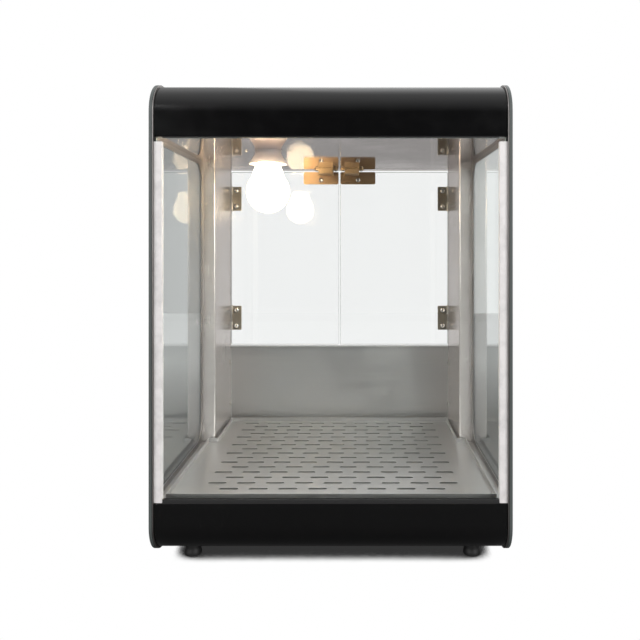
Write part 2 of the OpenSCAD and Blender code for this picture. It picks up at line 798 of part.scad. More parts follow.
module lamp_socket() color("#e9e4da") translate([lamp_x, lamp_y, 0]) difference() {
    union() {
        rod_z(0, 0, ceil_top, ceil_top + socket_body_h, socket_body_r);
        rod_z(0, 0, neck_lo, ceil_top, socket_neck_r);
        rod_z(0, 0, ceil_top + 6, ceil_top + 8, socket_body_r + 1.5);
    }
    rod_z(0, 0, neck_lo - 1, socket_bore_top, socket_bore_r);
}

module lamp_skirt() color("#b6aaa6") translate([lamp_x, lamp_y, 0]) difference() {
    union() {
        rod_z(0, 0, ceil_z - 4, ceil_z, skirt_top_r);
        translate([0, 0, ceil_z - skirt_drop])
            cylinder(r1 = skirt_low_r, r2 = skirt_top_r, h = skirt_drop - 4);
    }
    rod_z(0, 0, ceil_z - skirt_drop - 1, ceil_z + 1, socket_neck_r + skirt_fit);
    translate([0, 0, ceil_z - skirt_drop - 1])
        cylinder(r1 = skirt_low_r - 1.3, r2 = socket_neck_r, h = skirt_drop - 5);
}

module bulb_cap() color("#cfc6ae") translate([lamp_x, lamp_y, cap_lo]) difference() {
    union() {
        cylinder(r = cap_r - 0.1, h = cap_len - 5);
        for (ring = [0:4]) translate([0, 0, 6 + 3 * ring]) rotate_extrude()
            translate([cap_r - 0.4, 0]) circle(0.8, $fn = 24);
        translate([0, 0, cap_len - 5]) cylinder(r1 = cap_r - 0.1, r2 = 7, h = 3);
        translate([0, 0, cap_len - 2]) cylinder(r = 4.8, h = 2);
    }
    translate([0, 0, -1]) cylinder(r = cap_r - 0.1 - cap_wall, h = cap_len - 8);
}

// Half outline of the bulb: a ball, a cone to the neck and the neck itself
module bulb_outline(inset) {
    ball_z = bulb_lo + bulb_r;
    join_z = ball_z + bulb_r * 0.7;
    join_r = sqrt(bulb_r * bulb_r - pow(join_z - ball_z, 2));
    neck_top = cap_lo + 6.5 + inset;
    intersection() {
        union() {
            translate([0, ball_z]) circle(bulb_r - inset);
            polygon([[0, ball_z], [join_r - inset, join_z], [neck_r - inset, cap_lo - 1],
                [neck_r - inset, neck_top], [0, neck_top]]);
        }
        translate([0, bulb_lo]) square([bulb_r + 1, neck_top - bulb_lo]);
    }
}
module bulb_glass() color("#fffbe8") translate([lamp_x, lamp_y, 0]) rotate_extrude() difference() {
    bulb_outline(0);
    bulb_outline(bulb_glass_t);
}

module ceiling_screws() color("#d8d8d8") {
    lamp_screw_places() face_down() thin_screw(6);
    for (side = [-1, 1]) latch_screw_places(side) translate([0, 0, -latch_ear_t])
        face_down() thin_screw(latch_ear_t + 4);
}

// Wiring and heating inside the housings

module lamp_cable() color("#2b2b2d") tube([[block_x - 20, block_y, pan_top + 8],
    [block_x - 34, block_y, pan_top + 7], [block_x - 60, block_y, pan_top + 6],
    [cable_x + 8, cable_y + 3, pan_top + 8], [cable_x, cable_y, pan_top + 24],
    [cable_x, cable_y, base_top], [cable_x, cable_y, (base_top + ceil_z) / 2],
    [cable_x, cable_y, ceil_z - 10], [cable_x + 1, cable_y - 2, ceil_top + 16],
    [cable_x + 14, cable_y - 24, ceil_top + 30],
    [(cable_x + lamp_x) / 2, (cable_y + lamp_y) / 2, ceil_top + 44],
    [lamp_x - 10, lamp_y + 16, ceil_top + 50], [lamp_x, lamp_y, ceil_top + 50],
    [lamp_x, lamp_y, ceil_top + socket_body_h]], cable_r, [0, 0, 1]);

module heater_element() color("#6f6a64") {
    ys = [for (i = [0:3]) heater_y0 + i * heater_pitch];
    for (i = [0:3]) rod_x(-heater_bend_x, i == 0 || i == 3 ? heater_end_x : heater_bend_x,
        ys[i], heater_z, heater_r);
    for (i = [0:2]) translate([i % 2 == 0 ? -heater_bend_x : heater_bend_x,
        (ys[i] + ys[i + 1]) / 2, heater_z]) rotate([0, 0, i % 2 == 0 ? 90 : -90])
            rotate_extrude(angle = 180) translate([heater_pitch / 2, 0]) circle(heater_r);
}

module heater_brackets() color("#9a9da1") for (x = bracket_xs) difference() {
    block([x, heater_y0 - 12, pan_top], [x + 1.5, heater_y0 + 3 * heater_pitch + 12, heater_z + 8]);
    for (i = [0:3]) rod_x(x - 1, x + 3, heater_y0 + i * heater_pitch, heater_z, heater_r + 0.2);
}

module terminal_block() color("#e8e6df") translate([block_x, block_y, pan_top]) difference() {
    block([-20, -9, 0], [20, 9, 15]);
    for (i = [-1.5:1:1.5]) {
        translate([i * 9, 4.5, 5]) cylinder(r = 2, h = 12);
        translate([i * 9, -4.5, 5]) cylinder(r = 2, h = 12);
    }
}

// Controls

module thermostat_body() color("#d8d3c4") difference() {
    union() {
        block([knob_x - stat_w / 2, panel_y - skin_t - stat_d, control_z - stat_w / 2],
            [knob_x + stat_w / 2, panel_y - skin_t, control_z + stat_w / 2]);
        rod_y(knob_x, panel_y - skin_t, panel_y + 1.5, control_z, bush_r);
    }
    rod_y(knob_x, panel_y - 16, panel_y + 3, control_z, shaft_r + shaft_fit);
}

module thermostat_shaft() color("#c8c4b8")
    rod_y(knob_x, panel_y - 15.5, panel_y + knob_gap + knob_h - 3, control_z, shaft_r);

module thermostat_knob() color("#121214") translate([knob_x, panel_y + knob_gap, control_z])
    face_rear() difference() {
        union() {
            cylinder(r = knob_r, h = 3);
            cylinder(r = knob_r - 3, h = knob_h);
            translate([0, 0, knob_h / 2]) for (turn = [0:30:330])
                rotate([0, 0, turn]) translate([knob_r - 3.6, 0, 0]) cylinder(r = 1.6, h = knob_h / 2);
        }
        translate([0, 0, -1]) cylinder(r = shaft_r + 0.05, h = knob_h - 1);
        translate([-0.6, 4, knob_h - 0.6]) cube([1.2, knob_r, 2]);
    }

module thermostat_capillary() color("#b87a4a") {
    y0 = panel_y - skin_t - stat_d;
    tube([[knob_x, y0, control_z], [knob_x, y0 - 10, control_z], [knob_x + 4, y0 - 30, control_z + 6],
        [knob_x + 14, y0 - 44, control_z + 10], [knob_x + 30, y0 - 46, control_z + 10],
        [knob_x + 40, y0 - 46, control_z + 10]], 1, [0, 0, 1]);
    rod_x(knob_x + 40, knob_x + 100, y0 - 46, control_z + 10, 3);
}

module switch_housings() color("#161618") for (x = [heat_switch_x, light_switch_x])
    translate([x, panel_y, control_z]) difference() {
        union() {
            block([-switch_w / 2, -switch_d, -switch_h / 2], [switch_w / 2, 0, switch_h / 2]);
            block([-switch_w / 2 - bezel_over, 0, -switch_h / 2 - bezel_over],
                [switch_w / 2 + bezel_over, bezel_t, switch_h / 2 + bezel_over]);
        }
        block([-rocker_w / 2 - rocker_fit, -switch_d + 6, -switch_h / 2 + 1.6],
            [rocker_w / 2 + rocker_fit, bezel_t + 1, switch_h / 2 - 1.6]);
        rod_x(-switch_w / 2 + 0.6, switch_w / 2 - 0.6, -rocker_sink, 0, rocker_pin_r + rocker_pin_fit);
    }

module rocker(x) translate([x, panel_y - rocker_sink, control_z]) rotate([rocker_tilt, 0, 0]) {
    translate([-rocker_w / 2, 0, 0]) yz(rocker_w)
        polygon([[-2, -12.4], [5.5, -12.4], [3.6, 0], [5.5, 12.4], [-2, 12.4], [-6, 3], [-6, -3]]);
    rod_x(-switch_w / 2 + 0.8, switch_w / 2 - 0.8, 0, 0, rocker_pin_r);
}
module light_rocker() color("#2f7a3c") rocker(light_switch_x);
module heat_rocker() color("#a3231b") rocker(heat_switch_x);

module pilot_lamp() color("#e08a1e") translate([pilot_x, panel_y, control_z]) {
    face_rear() cylinder(r = pilot_r + 1.5, h = 1.5);
    translate([0, 1.5, 0]) face_rear() dome(pilot_r, 3);
    translate([0, -18, 0]) face_rear() cylinder(r = pilot_r, h = 18);
}

module cable_gland() color("#1a1a1a") translate([gland_x, panel_y, control_z]) difference() {
    union() {
        face_rear() cylinder(r = gland_r + 1.5, h = 6, $fn = 6);
        translate([0, 6, 0]) face_rear() cylinder(r = gland_r - 1, h = 8);
        translate([0, 14, 0]) face_rear() cylinder(r1 = gland_r - 1, r2 = gland_r - 3, h = 3);
        translate([0, -11, 0]) face_rear() cylinder(r = gland_r - 2, h = 11);
        translate([0, -skin_t - 5, 0]) face_rear() cylinder(r = gland_r + 1.5, h = 5, $fn = 6);
    }
    translate([0, -12, 0]) face_rear() cylinder(r = gland_bore_r, h = 30);
}

base_fascia();
base_pan();
rear_control_panel();
deck_plate();
tray_guides();
floor_tray();
crumb_tray();
rubber_feet();
foot_fasteners();
hood_shell();
hood_rear_panel();
ceiling_panel();
side_frame_left();
side_frame_right();
side_gaskets();
side_glass_left();
side_glass_right();
front_glass();
front_glass_seals();
corner_strip_left();
corner_strip_right();
rear_post_left();
rear_post_right();
rear_lower_panel();
panel_screws();
hinge_frame_leaves();
hinge_frame_screws();
hinge_pins();
door_pane_left();
door_pane_right();
door_leaves_left();
door_leaves_right();
door_fasteners_left();
door_fasteners_right();
strike_plate_left();
strike_plate_right();
latch_body_left();
latch_body_right();
latch_plunger_left();
latch_plunger_right();
lamp_bracket();
lamp_socket();
lamp_skirt();
bulb_cap();
bulb_glass();
lamp_cable();
ceiling_screws();
heater_element();
heater_brackets();
thermostat_body();
thermostat_shaft();
thermostat_knob();
thermostat_capillary();
switch_housings();
light_rocker();
heat_rocker();
pilot_lamp();
cable_gland();
terminal_block();
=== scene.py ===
import json
import math

import bmesh
import bpy
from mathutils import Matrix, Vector


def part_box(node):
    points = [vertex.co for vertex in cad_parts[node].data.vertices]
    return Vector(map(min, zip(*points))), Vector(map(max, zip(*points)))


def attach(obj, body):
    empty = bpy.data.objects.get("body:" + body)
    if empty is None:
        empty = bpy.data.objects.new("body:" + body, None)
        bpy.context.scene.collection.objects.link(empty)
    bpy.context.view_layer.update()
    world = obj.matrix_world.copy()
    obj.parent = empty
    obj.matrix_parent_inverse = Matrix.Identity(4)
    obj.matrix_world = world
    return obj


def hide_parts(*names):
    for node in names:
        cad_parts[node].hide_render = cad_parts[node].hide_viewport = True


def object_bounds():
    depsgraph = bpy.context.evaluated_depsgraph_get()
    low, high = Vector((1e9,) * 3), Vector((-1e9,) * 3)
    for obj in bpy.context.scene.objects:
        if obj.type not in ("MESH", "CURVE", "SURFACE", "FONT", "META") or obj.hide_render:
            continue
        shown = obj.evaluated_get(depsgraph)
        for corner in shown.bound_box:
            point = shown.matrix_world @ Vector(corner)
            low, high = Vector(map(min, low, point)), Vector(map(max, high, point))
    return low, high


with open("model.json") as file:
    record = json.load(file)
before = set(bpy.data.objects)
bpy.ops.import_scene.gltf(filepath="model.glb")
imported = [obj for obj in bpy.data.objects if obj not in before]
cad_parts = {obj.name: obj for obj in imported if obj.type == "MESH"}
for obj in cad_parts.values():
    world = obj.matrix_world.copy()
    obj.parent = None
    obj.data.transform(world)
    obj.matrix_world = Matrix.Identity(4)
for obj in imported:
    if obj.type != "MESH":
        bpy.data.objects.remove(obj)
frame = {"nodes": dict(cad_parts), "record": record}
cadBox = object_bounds()
low = Vector(cadBox[0])
nodes = frame["nodes"]
mm = 0.001
print("frame loaded:", len(nodes), "nodes")

# Camera: level, a little right of the middle, looking straight at the front

camera = {"right": 0.033, "back": 0.778, "height": 0.401, "lens": 36.26, "sensor": 36.0,
          "shiftX": -0.0594, "shiftY": -0.1203}
cam = bpy.data.objects.new("camera", bpy.data.cameras.new("camera"))
bpy.context.scene.collection.objects.link(cam)
cam.location = (camera["right"], low.y - camera["back"], camera["height"])
cam.rotation_euler = (math.radians(90), 0, 0)
cam.data.lens, cam.data.sensor_width = camera["lens"], camera["sensor"]
cam.data.shift_x, cam.data.shift_y = camera["shiftX"], camera["shiftY"]
cam.data.clip_start = 0.01
bpy.context.scene.camera = cam
bpy.context.scene.view_settings.view_transform = "Standard"

# Node helpers


def newMaterial(name):
    mat = bpy.data.materials.new(name)
    mat.use_nodes = True
    tree = mat.node_tree
    tree.nodes.clear()
    out = tree.nodes.new("ShaderNodeOutputMaterial")
    surface = tree.nodes.new("ShaderNodeBsdfPrincipled")
    tree.links.new(surface.outputs[0], out.inputs["Surface"])
    return mat, tree, surface, out


def link(tree, source, target):
    tree.links.new(source, target)


def addNode(tree, kind, **settings):
    node = tree.nodes.new(kind)
    for key, value in settings.items():
        if hasattr(node, key):
            setattr(node, key, value)
        else:
            node.inputs[key].default_value = value
    return node


def objectPlace(tree, scale=(1, 1, 1)):
    place = tree.nodes.new("ShaderNodeTexCoord")
    mapping = tree.nodes.new("ShaderNodeMapping")
    mapping.inputs["Scale"].default_value = scale
    link(tree, place.outputs["Object"], mapping.inputs["Vector"])
    return mapping.outputs["Vector"]


def bumpFrom(tree, height, strength, distance):
    bump = tree.nodes.new("ShaderNodeBump")
    bump.inputs["Strength"].default_value = strength
    bump.inputs["Distance"].default_value = distance
    link(tree, height, bump.inputs["Height"])
    return bump.outputs["Normal"]


def useGroup(tree, group, **values):
    node = tree.nodes.new("ShaderNodeGroup")
    node.node_tree = group
    for key, value in values.items():
        node.inputs[key].default_value = value
    return node


def startGroup(name, inputs, outputs):
    group = bpy.data.node_groups.new(name, "ShaderNodeTree")
    for socket, kind, default in inputs:
        made = group.interface.new_socket(socket, in_out="INPUT", socket_type=kind)
        if default is not None:
            made.default_value = default
    for socket, kind in outputs:
        group.interface.new_socket(socket, in_out="OUTPUT", socket_type=kind)
    return group, group.nodes.new("NodeGroupInput"), group.nodes.new("NodeGroupOutput")


def mathNode(tree, operation, a, b=None, clamp=False):
    node = tree.nodes.new("ShaderNodeMath")
    node.operation = operation
    node.use_clamp = clamp
    for index, value in enumerate((a, b)):
        if value is None:
            continue
        if isinstance(value, (int, float)):
            node.inputs[index].default_value = value
        else:
            link(tree, value, node.inputs[index])
    return node.outputs[0]


def rangeNode(tree, value, fromLow, fromHigh, toLow, toHigh):
    node = tree.nodes.new("ShaderNodeMapRange")
    for key, number in (("From Min", fromLow), ("From Max", fromHigh), ("To Min", toLow), ("To Max", toHigh)):
        if isinstance(number, (int, float)):
            node.inputs[key].default_value = number
        else:
            link(tree, number, node.inputs[key])
    link(tree, value, node.inputs["Value"])
    return node.outputs["Result"]


def mixColour(tree, factor, a, b, blend="MIX"):
    node = tree.nodes.new("ShaderNodeMix")
    node.data_type = "RGBA"
    node.blend_type = blend
    if isinstance(factor, (int, float)):
        node.inputs["Factor"].default_value = factor
    else:
        link(tree, factor, node.inputs["Factor"])
    for key, value in (("A", a), ("B", b)):
        socket = [s for s in node.inputs if s.name == key and s.type == "RGBA"][0]
        if isinstance(value, tuple):
            socket.default_value = (*value, 1)
        else:
            link(tree, value, socket)
    return [s for s in node.outputs if s.type == "RGBA"][0]


def distanceFrom(tree, value, place):
    return mathNode(tree, "ABSOLUTE", mathNode(tree, "SUBTRACT", value, place))


def mixShaders(tree, rayKind, other, chosen, target):
    ray = addNode(tree, "ShaderNodeLightPath")
    mix = addNode(tree, "ShaderNodeMixShader")
    link(tree, ray.outputs[rayKind], mix.inputs[0])
    link(tree, other.outputs[0], mix.inputs[1])
    link(tree, chosen.outputs[0], mix.inputs[2])
    link(tree, mix.outputs[0], target)


# Shared effects as node groups


def makeSmudges():
    inputs = [("Size", "NodeSocketFloat", 40.0), ("Amount", "NodeSocketFloat", 0.1),
              ("Roughness", "NodeSocketFloat", 0.3)]
    outputs = [("Roughness", "NodeSocketFloat"), ("Mask", "NodeSocketFloat")]
    group, given, result = startGroup("smudges", inputs, outputs)
    place = objectPlace(group)
    broad = addNode(group, "ShaderNodeTexNoise", Detail=4.0, Roughness=0.6)
    link(group, place, broad.inputs["Vector"])
    link(group, given.outputs["Size"], broad.inputs["Scale"])
    mask = rangeNode(group, broad.outputs["Fac"], 0.42, 0.68, 0.0, 1.0)
    lift = mathNode(group, "MULTIPLY", mask, given.outputs["Amount"])
    link(group, mathNode(group, "ADD", given.outputs["Roughness"], lift, True), result.inputs["Roughness"])
    link(group, mask, result.inputs["Mask"])
    return group


def makeBrushing():
    inputs = [("Along", "NodeSocketVector", (4, 900, 900)), ("Roughness", "NodeSocketFloat", 0.3),
              ("Spread", "NodeSocketFloat", 0.15)]
    outputs = [("Height", "NodeSocketFloat"), ("Roughness", "NodeSocketFloat"), ("Tone", "NodeSocketFloat")]
    group, given, result = startGroup("brushing", inputs, outputs)
    place = addNode(group, "ShaderNodeTexCoord")
    stretch = addNode(group, "ShaderNodeVectorMath", operation="MULTIPLY")
    link(group, place.outputs["Object"], stretch.inputs[0])
    link(group, given.outputs["Along"], stretch.inputs[1])
    lines = addNode(group, "ShaderNodeTexNoise", Scale=1.0, Detail=3.0, Roughness=0.7)
    link(group, stretch.outputs[0], lines.inputs["Vector"])
    soft = addNode(group, "ShaderNodeTexNoise", Scale=9.0, Detail=2.0)
    link(group, place.outputs["Object"], soft.inputs["Vector"])
    spread = mathNode(group, "MULTIPLY", lines.outputs["Fac"], given.outputs["Spread"])
    link(group, lines.outputs["Fac"], result.inputs["Height"])
    link(group, mathNode(group, "ADD", given.outputs["Roughness"], spread, True), result.inputs["Roughness"])
    tone = mathNode(group, "ADD", mathNode(group, "MULTIPLY", lines.outputs["Fac"], 0.6),
                    mathNode(group, "MULTIPLY", soft.outputs["Fac"], 0.4))
    link(group, tone, result.inputs["Tone"])
    return group


def makeDust():
    group, given, result = startGroup("dust", [("Amount", "NodeSocketFloat", 0.2)],
                                      [("Mask", "NodeSocketFloat")])
    place = objectPlace(group)
    facing = addNode(group, "ShaderNodeNewGeometry")
    split = addNode(group, "ShaderNodeSeparateXYZ")
    link(group, facing.outputs["Normal"], split.inputs[0])
    up = rangeNode(group, split.outputs["Z"], 0.55, 1.0, 0.0, 1.0)
    specks = addNode(group, "ShaderNodeTexNoise", Scale=420.0, Detail=5.0, Roughness=0.75)
    link(group, place, specks.inputs["Vector"])
    fine = rangeNode(group, specks.outputs["Fac"], 0.52, 0.72, 0.0, 1.0)
    mask = mathNode(group, "MULTIPLY", mathNode(group, "MULTIPLY", up, fine), given.outputs["Amount"], True)
    link(group, mask, result.inputs["Mask"])
    return group


smudges, brushing, dust = makeSmudges(), makeBrushing(), makeDust()

# Materials


def paintedMaterial(name, colour, roughness, peel=0.05, dusty=0.12):
    mat, tree, surface, out = newMaterial(name)
    marks = useGroup(tree, smudges, Size=26.0, Amount=0.06, Roughness=roughness)
    haze = useGroup(tree, dust, Amount=dusty)
    tint = mixColour(tree, haze.outputs["Mask"], colour, (0.12, 0.115, 0.11))
    grain = addNode(tree, "ShaderNodeTexNoise", Scale=900.0, Detail=2.0)
    link(tree, objectPlace(tree), grain.inputs["Vector"])
    link(tree, tint, surface.inputs["Base Color"])
    link(tree, marks.outputs["Roughness"], surface.inputs["Roughness"])
    link(tree, bumpFrom(tree, grain.outputs["Fac"], peel, 0.0002), surface.inputs["Normal"])
    return mat


def metalMaterial(name, colour, roughness, along=(4, 900, 900), spread=0.12, depth=0.03, tone=0.25,
                  metal=1.0, grazing=(1, 1, 1)):
    mat, tree, surface, out = newMaterial(name)
    brushed = useGroup(tree, brushing, Along=along, Roughness=roughness, Spread=spread)
    marks = useGroup(tree, smudges, Size=14.0, Amount=0.05, Roughness=0.0)
    dark = tuple(c * (1 - tone) for c in colour)
    link(tree, mixColour(tree, brushed.outputs["Tone"], dark, colour), surface.inputs["Base Color"])
    rough = mathNode(tree, "ADD", brushed.outputs["Roughness"], marks.outputs["Roughness"], True)
    link(tree, rough, surface.inputs["Roughness"])
    link(tree, bumpFrom(tree, brushed.outputs["Height"], depth, 0.0002), surface.inputs["Normal"])
    surface.inputs["Metallic"].default_value = metal
    surface.inputs["Specular Tint"].default_value = (*grazing, 1)
    return mat


def plasticMaterial(name, colour, roughness, grain=0.1, clear=0.0):
    mat, tree, surface, out = newMaterial(name)
    marks = useGroup(tree, smudges, Size=60.0, Amount=0.08, Roughness=roughness)
    spark = addNode(tree, "ShaderNodeTexNoise", Scale=1400.0, Detail=2.0)
    link(tree, objectPlace(tree), spark.inputs["Vector"])
    dark = tuple(c * 0.82 for c in colour)
    link(tree, mixColour(tree, marks.outputs["Mask"], colour, dark), surface.inputs["Base Color"])
    link(tree, marks.outputs["Roughness"], surface.inputs["Roughness"])
    link(tree, bumpFrom(tree, spark.outputs["Fac"], grain, 0.0002), surface.inputs["Normal"])
    surface.inputs["Transmission Weight"].default_value = clear
    return mat


def glassMaterial(name, colour, axis, edgeShadeColour):
    mat, tree, surface, out = newMaterial(name)
    surface.inputs["Base Color"].default_value = (*colour, 1)
    surface.inputs["Roughness"].default_value = 0.0
    surface.inputs["IOR"].default_value = 1.5
    surface.inputs["Transmission Weight"].default_value = 1.0
    clear = addNode(tree, "ShaderNodeBsdfTransparent")
    clear.inputs["Color"].default_value = (*(c * 0.95 for c in colour), 1)
    # Painted shade: edge faces, whose normal leans off the pane's axis, swap glass for a flat matte colour.
    # It is the glass's own edge tint, darkened to stand in for the shade on the pane edges.
    paintedEdgeShade = addNode(tree, "ShaderNodeBsdfPrincipled")
    paintedEdgeShade.inputs["Base Color"].default_value = (*edgeShadeColour, 1)
    paintedEdgeShade.inputs["Roughness"].default_value = 0.35
    shape = addNode(tree, "ShaderNodeNewGeometry")
    own = addNode(tree, "ShaderNodeVectorTransform", vector_type="NORMAL", convert_from="WORLD",
                  convert_to="OBJECT")
    link(tree, shape.outputs["True Normal"], own.inputs[0])
    facing = addNode(tree, "ShaderNodeSeparateXYZ")
    link(tree, own.outputs[0], facing.inputs[0])
    flat = mathNode(tree, "ABSOLUTE", facing.outputs[axis])
    sides = addNode(tree, "ShaderNodeMixShader")
    link(tree, rangeNode(tree, flat, 0.85, 0.97, 0.0, 1.0), sides.inputs[0])
    link(tree, paintedEdgeShade.outputs[0], sides.inputs[1])
    mixShaders(tree, "Is Shadow Ray", surface, clear, sides.inputs[2])
    link(tree, sides.outputs[0], out.inputs["Surface"])
    return mat


def bulbMaterial(name):
    mat, tree, surface, out = newMaterial(name)
    surface.inputs["Base Color"].default_value = (1, 0.97, 0.9, 1)
    surface.inputs["Roughness"].default_value = 0.4
    surface.inputs["Emission Color"].default_value = (1, 0.8, 0.52, 1)
    surface.inputs["Emission Strength"].default_value = 26.0
    return mat


def rockerMaterial(name, colour, node):
    mat, tree, surface, out = newMaterial(name)
    wear = useGroup(tree, smudges, Size=60.0, Amount=0.08, Roughness=0.2)
    a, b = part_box(node)
    split = addNode(tree, "ShaderNodeSeparateXYZ")
    link(tree, objectPlace(tree), split.inputs[0])
    middleZ, halfLine = (a[2] + b[2]) / 2, rockerMarks["line"] / 2
    aside = distanceFrom(tree, split.outputs["X"], (a[0] + b[0]) / 2)
    fromBar = distanceFrom(tree, split.outputs["Z"], middleZ + rockerMarks["offset"])
    fromRing = distanceFrom(tree, split.outputs["Z"], middleZ - rockerMarks["offset"])
    bar = mathNode(tree, "MAXIMUM", mathNode(tree, "SUBTRACT", aside, halfLine),
                   mathNode(tree, "SUBTRACT", fromBar, rockerMarks["ring"]))
    squares = mathNode(tree, "ADD", mathNode(tree, "POWER", aside, 2.0),
                       mathNode(tree, "POWER", fromRing, 2.0))
    around = distanceFrom(tree, mathNode(tree, "SQRT", squares), rockerMarks["ring"])
    ring = mathNode(tree, "SUBTRACT", around, halfLine)
    soft = rockerMarks["soft"]
    drawn = rangeNode(tree, mathNode(tree, "MINIMUM", bar, ring), -soft, soft, 1.0, 0.0)
    link(tree, mixColour(tree, drawn, colour, rockerMarks["colour"]), surface.inputs["Base Color"])
    link(tree, wear.outputs["Roughness"], surface.inputs["Roughness"])
    surface.inputs["Coat Weight"].default_value = 0.3
    return mat


rockerMarks = {"offset": 4.5 * mm, "ring": 2.2 * mm, "line": 0.8 * mm, "soft": 0.05 * mm,
               "colour": (0.82, 0.82, 0.8)}
materials = {
    "black_enamel": paintedMaterial("black_enamel", (0.0018, 0.0018, 0.002), 0.15),
    "galvanised_sheet": metalMaterial("galvanised_sheet", (0.5, 0.51, 0.52), 0.42, (30, 30, 30), 0.2),
    "stainless_sheet": metalMaterial("stainless_sheet", (0.62, 0.61, 0.6), 0.28),
    "black_rubber": plasticMaterial("black_rubber", (0.012, 0.012, 0.012), 0.55, 0.2),
    "zinc_screws": metalMaterial("zinc_screws", (0.6, 0.6, 0.58), 0.3, (60, 60, 60)),
    "polished_steel": metalMaterial("polished_steel", (0.82, 0.775, 0.77), 0.035, (3, 700, 700), 0.03, 0.003,
                                    0.05, grazing=(0.93, 0.9, 0.89)),
    "frame_steel": metalMaterial("frame_steel", (0.34, 0.32, 0.31), 0.3),
    "black_gasket": plasticMaterial("black_gasket", (0.006, 0.006, 0.006), 0.5, 0.05),
    "clear_glass": glassMaterial("clear_glass", (0.9, 0.93, 0.92), "X", (0.075, 0.085, 0.083)),
    "front_glass": glassMaterial("front_glass", (0.97, 0.985, 0.98), "Y", (0.5, 0.6, 0.57)),
    "clear_strip": plasticMaterial("clear_strip", (0.8, 0.77, 0.765), 0.4, 0.01, 0.12),
    "post_steel": metalMaterial("post_steel", (0.66, 0.62, 0.6), 0.16, (700, 700, 3), 0.12, 0.01, 0.08, 0.75,
                                (0.68, 0.66, 0.66)),
    "bright_screws": metalMaterial("bright_screws", (0.72, 0.7, 0.66), 0.16, (60, 60, 60), 0.08),
    "hinge_steel": metalMaterial("hinge_steel", (0.8, 0.73, 0.63), 0.42, (600, 600, 8), 0.12, 0.02, 0.15,
                                 0.92),
    "pin_steel": metalMaterial("pin_steel", (0.45, 0.43, 0.4), 0.22, (600, 600, 8), 0.12),
    "door_acrylic": glassMaterial("door_acrylic", (0.983, 0.983, 0.983), "Y", (0.27, 0.27, 0.27)),
    "strike_steel": metalMaterial("strike_steel", (0.3, 0.2, 0.115), 0.24, (6, 600, 600), 0.1, 0.02, 0.15,
                                  0.85),
    "latch_plastic": metalMaterial("latch_plastic", (0.44, 0.3, 0.16), 0.3, (6, 600, 600), 0.1, 0.02, 0.15,
                                   0.8),
    "plunger_steel": metalMaterial("plunger_steel", (0.62, 0.62, 0.62), 0.18, (700, 4, 700), 0.08),
    "lamp_ceramic": plasticMaterial("lamp_ceramic", (0.8, 0.77, 0.7), 0.18, 0.02),
    "skirt_plastic": plasticMaterial("skirt_plastic", (0.76, 0.71, 0.72), 0.4, 0.05, 0.45),
    "cap_nickel": metalMaterial("cap_nickel", (0.7, 0.67, 0.58), 0.25, (60, 60, 600)),
    "bulb_frosted": bulbMaterial("bulb_frosted"),
    "black_wire": plasticMaterial("black_wire", (0.015, 0.015, 0.016), 0.4, 0.05),
    "heater_sheath": metalMaterial("heater_sheath", (0.26, 0.23, 0.21), 0.4, (40, 40, 40), 0.2),
    "cream_plastic": plasticMaterial("cream_plastic", (0.62, 0.57, 0.45), 0.4),
    "black_plastic": plasticMaterial("black_plastic", (0.012, 0.012, 0.013), 0.34, 0.25),
    "copper_tube": metalMaterial("copper_tube", (0.72, 0.4, 0.24), 0.26, (60, 60, 60)),
    "green_lens": rockerMaterial("green_lens", (0.03, 0.32, 0.08), "light_rocker"),
    "red_lens": rockerMaterial("red_lens", (0.42, 0.016, 0.012), "heat_rocker"),
    "amber_lens": plasticMaterial("amber_lens", (0.8, 0.3, 0.03), 0.15, 0.02)}
slotOf = {p["node"]: p["material_slot"] for p in frame["record"]["subparts"]}
for name, node in nodes.items():
    node.data.materials.clear()
    node.data.materials.append(materials[slotOf[name]])
print("materials:", len(materials))

# Piece helpers


def makePiece(mesh, name, slotName, body, *nodeNames, crease=35):
    bmesh.ops.remove_doubles(mesh, verts=mesh.verts, dist=1e-7)
    bmesh.ops.recalc_face_normals(mesh, faces=mesh.faces)
    data = bpy.data.meshes.new(name)
    mesh.to_mesh(data)
    mesh.free()
    data.shade_smooth()
    data.set_sharp_from_angle(angle=math.radians(crease))
    data.materials.append(materials[slotName])
    piece = bpy.data.objects.new(name, data)
    bpy.context.scene.collection.objects.link(piece)
    weighted = piece.modifiers.new("flat_faces", "WEIGHTED_NORMAL")
    weighted.mode, weighted.weight, weighted.keep_sharp = "FACE_AREA", 100, True
    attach(piece, body)
    if nodeNames:
        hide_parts(*nodeNames)
    return piece


def bevelEdges(mesh, width, angle=40, segments=2):
    edges = [e for e in mesh.edges if e.is_manifold and e.calc_face_angle(0) > math.radians(angle)]
    bmesh.ops.bevel(mesh, geom=edges, offset=width, offset_type="OFFSET", segments=segments, profile=0.5,
                    affect="EDGES", material=-1, clamp_overlap=True)


def filletPath(points, radii, steps=10, closed=False):
    path = []
    count = len(points)
    for index, (point, radius) in enumerate(zip(points, radii)):
        here = Vector(point)
        if radius == 0 or (not closed and index in (0, count - 1)):
            path.append(here)
            continue
        before = (Vector(points[index - 1]) - here).normalized()
        after = (Vector(points[(index + 1) % count]) - here).normalized()
        half = before.angle(after) / 2
        reach = radius / math.tan(half)
        centre = here + (before + after).normalized() * (radius / math.sin(half))
        start, end = here + before * reach - centre, here + after * reach - centre
        turn = start.angle_signed(end)
        number = max(2, int(steps * abs(turn) / math.radians(90) * max(1, radius / 0.02) ** 0.5))
        for step in range(number + 1):
            angle = -turn * step / number
            c, s = math.cos(angle), math.sin(angle)
            path.append(centre + Vector((c * start.x - s * start.y, s * start.x + c * start.y)))
    return path


def spread(axis, u, v, t):
    return {"X": (t, u, v), "Y": (u, t, v), "Z": (u, v, t)}[axis]


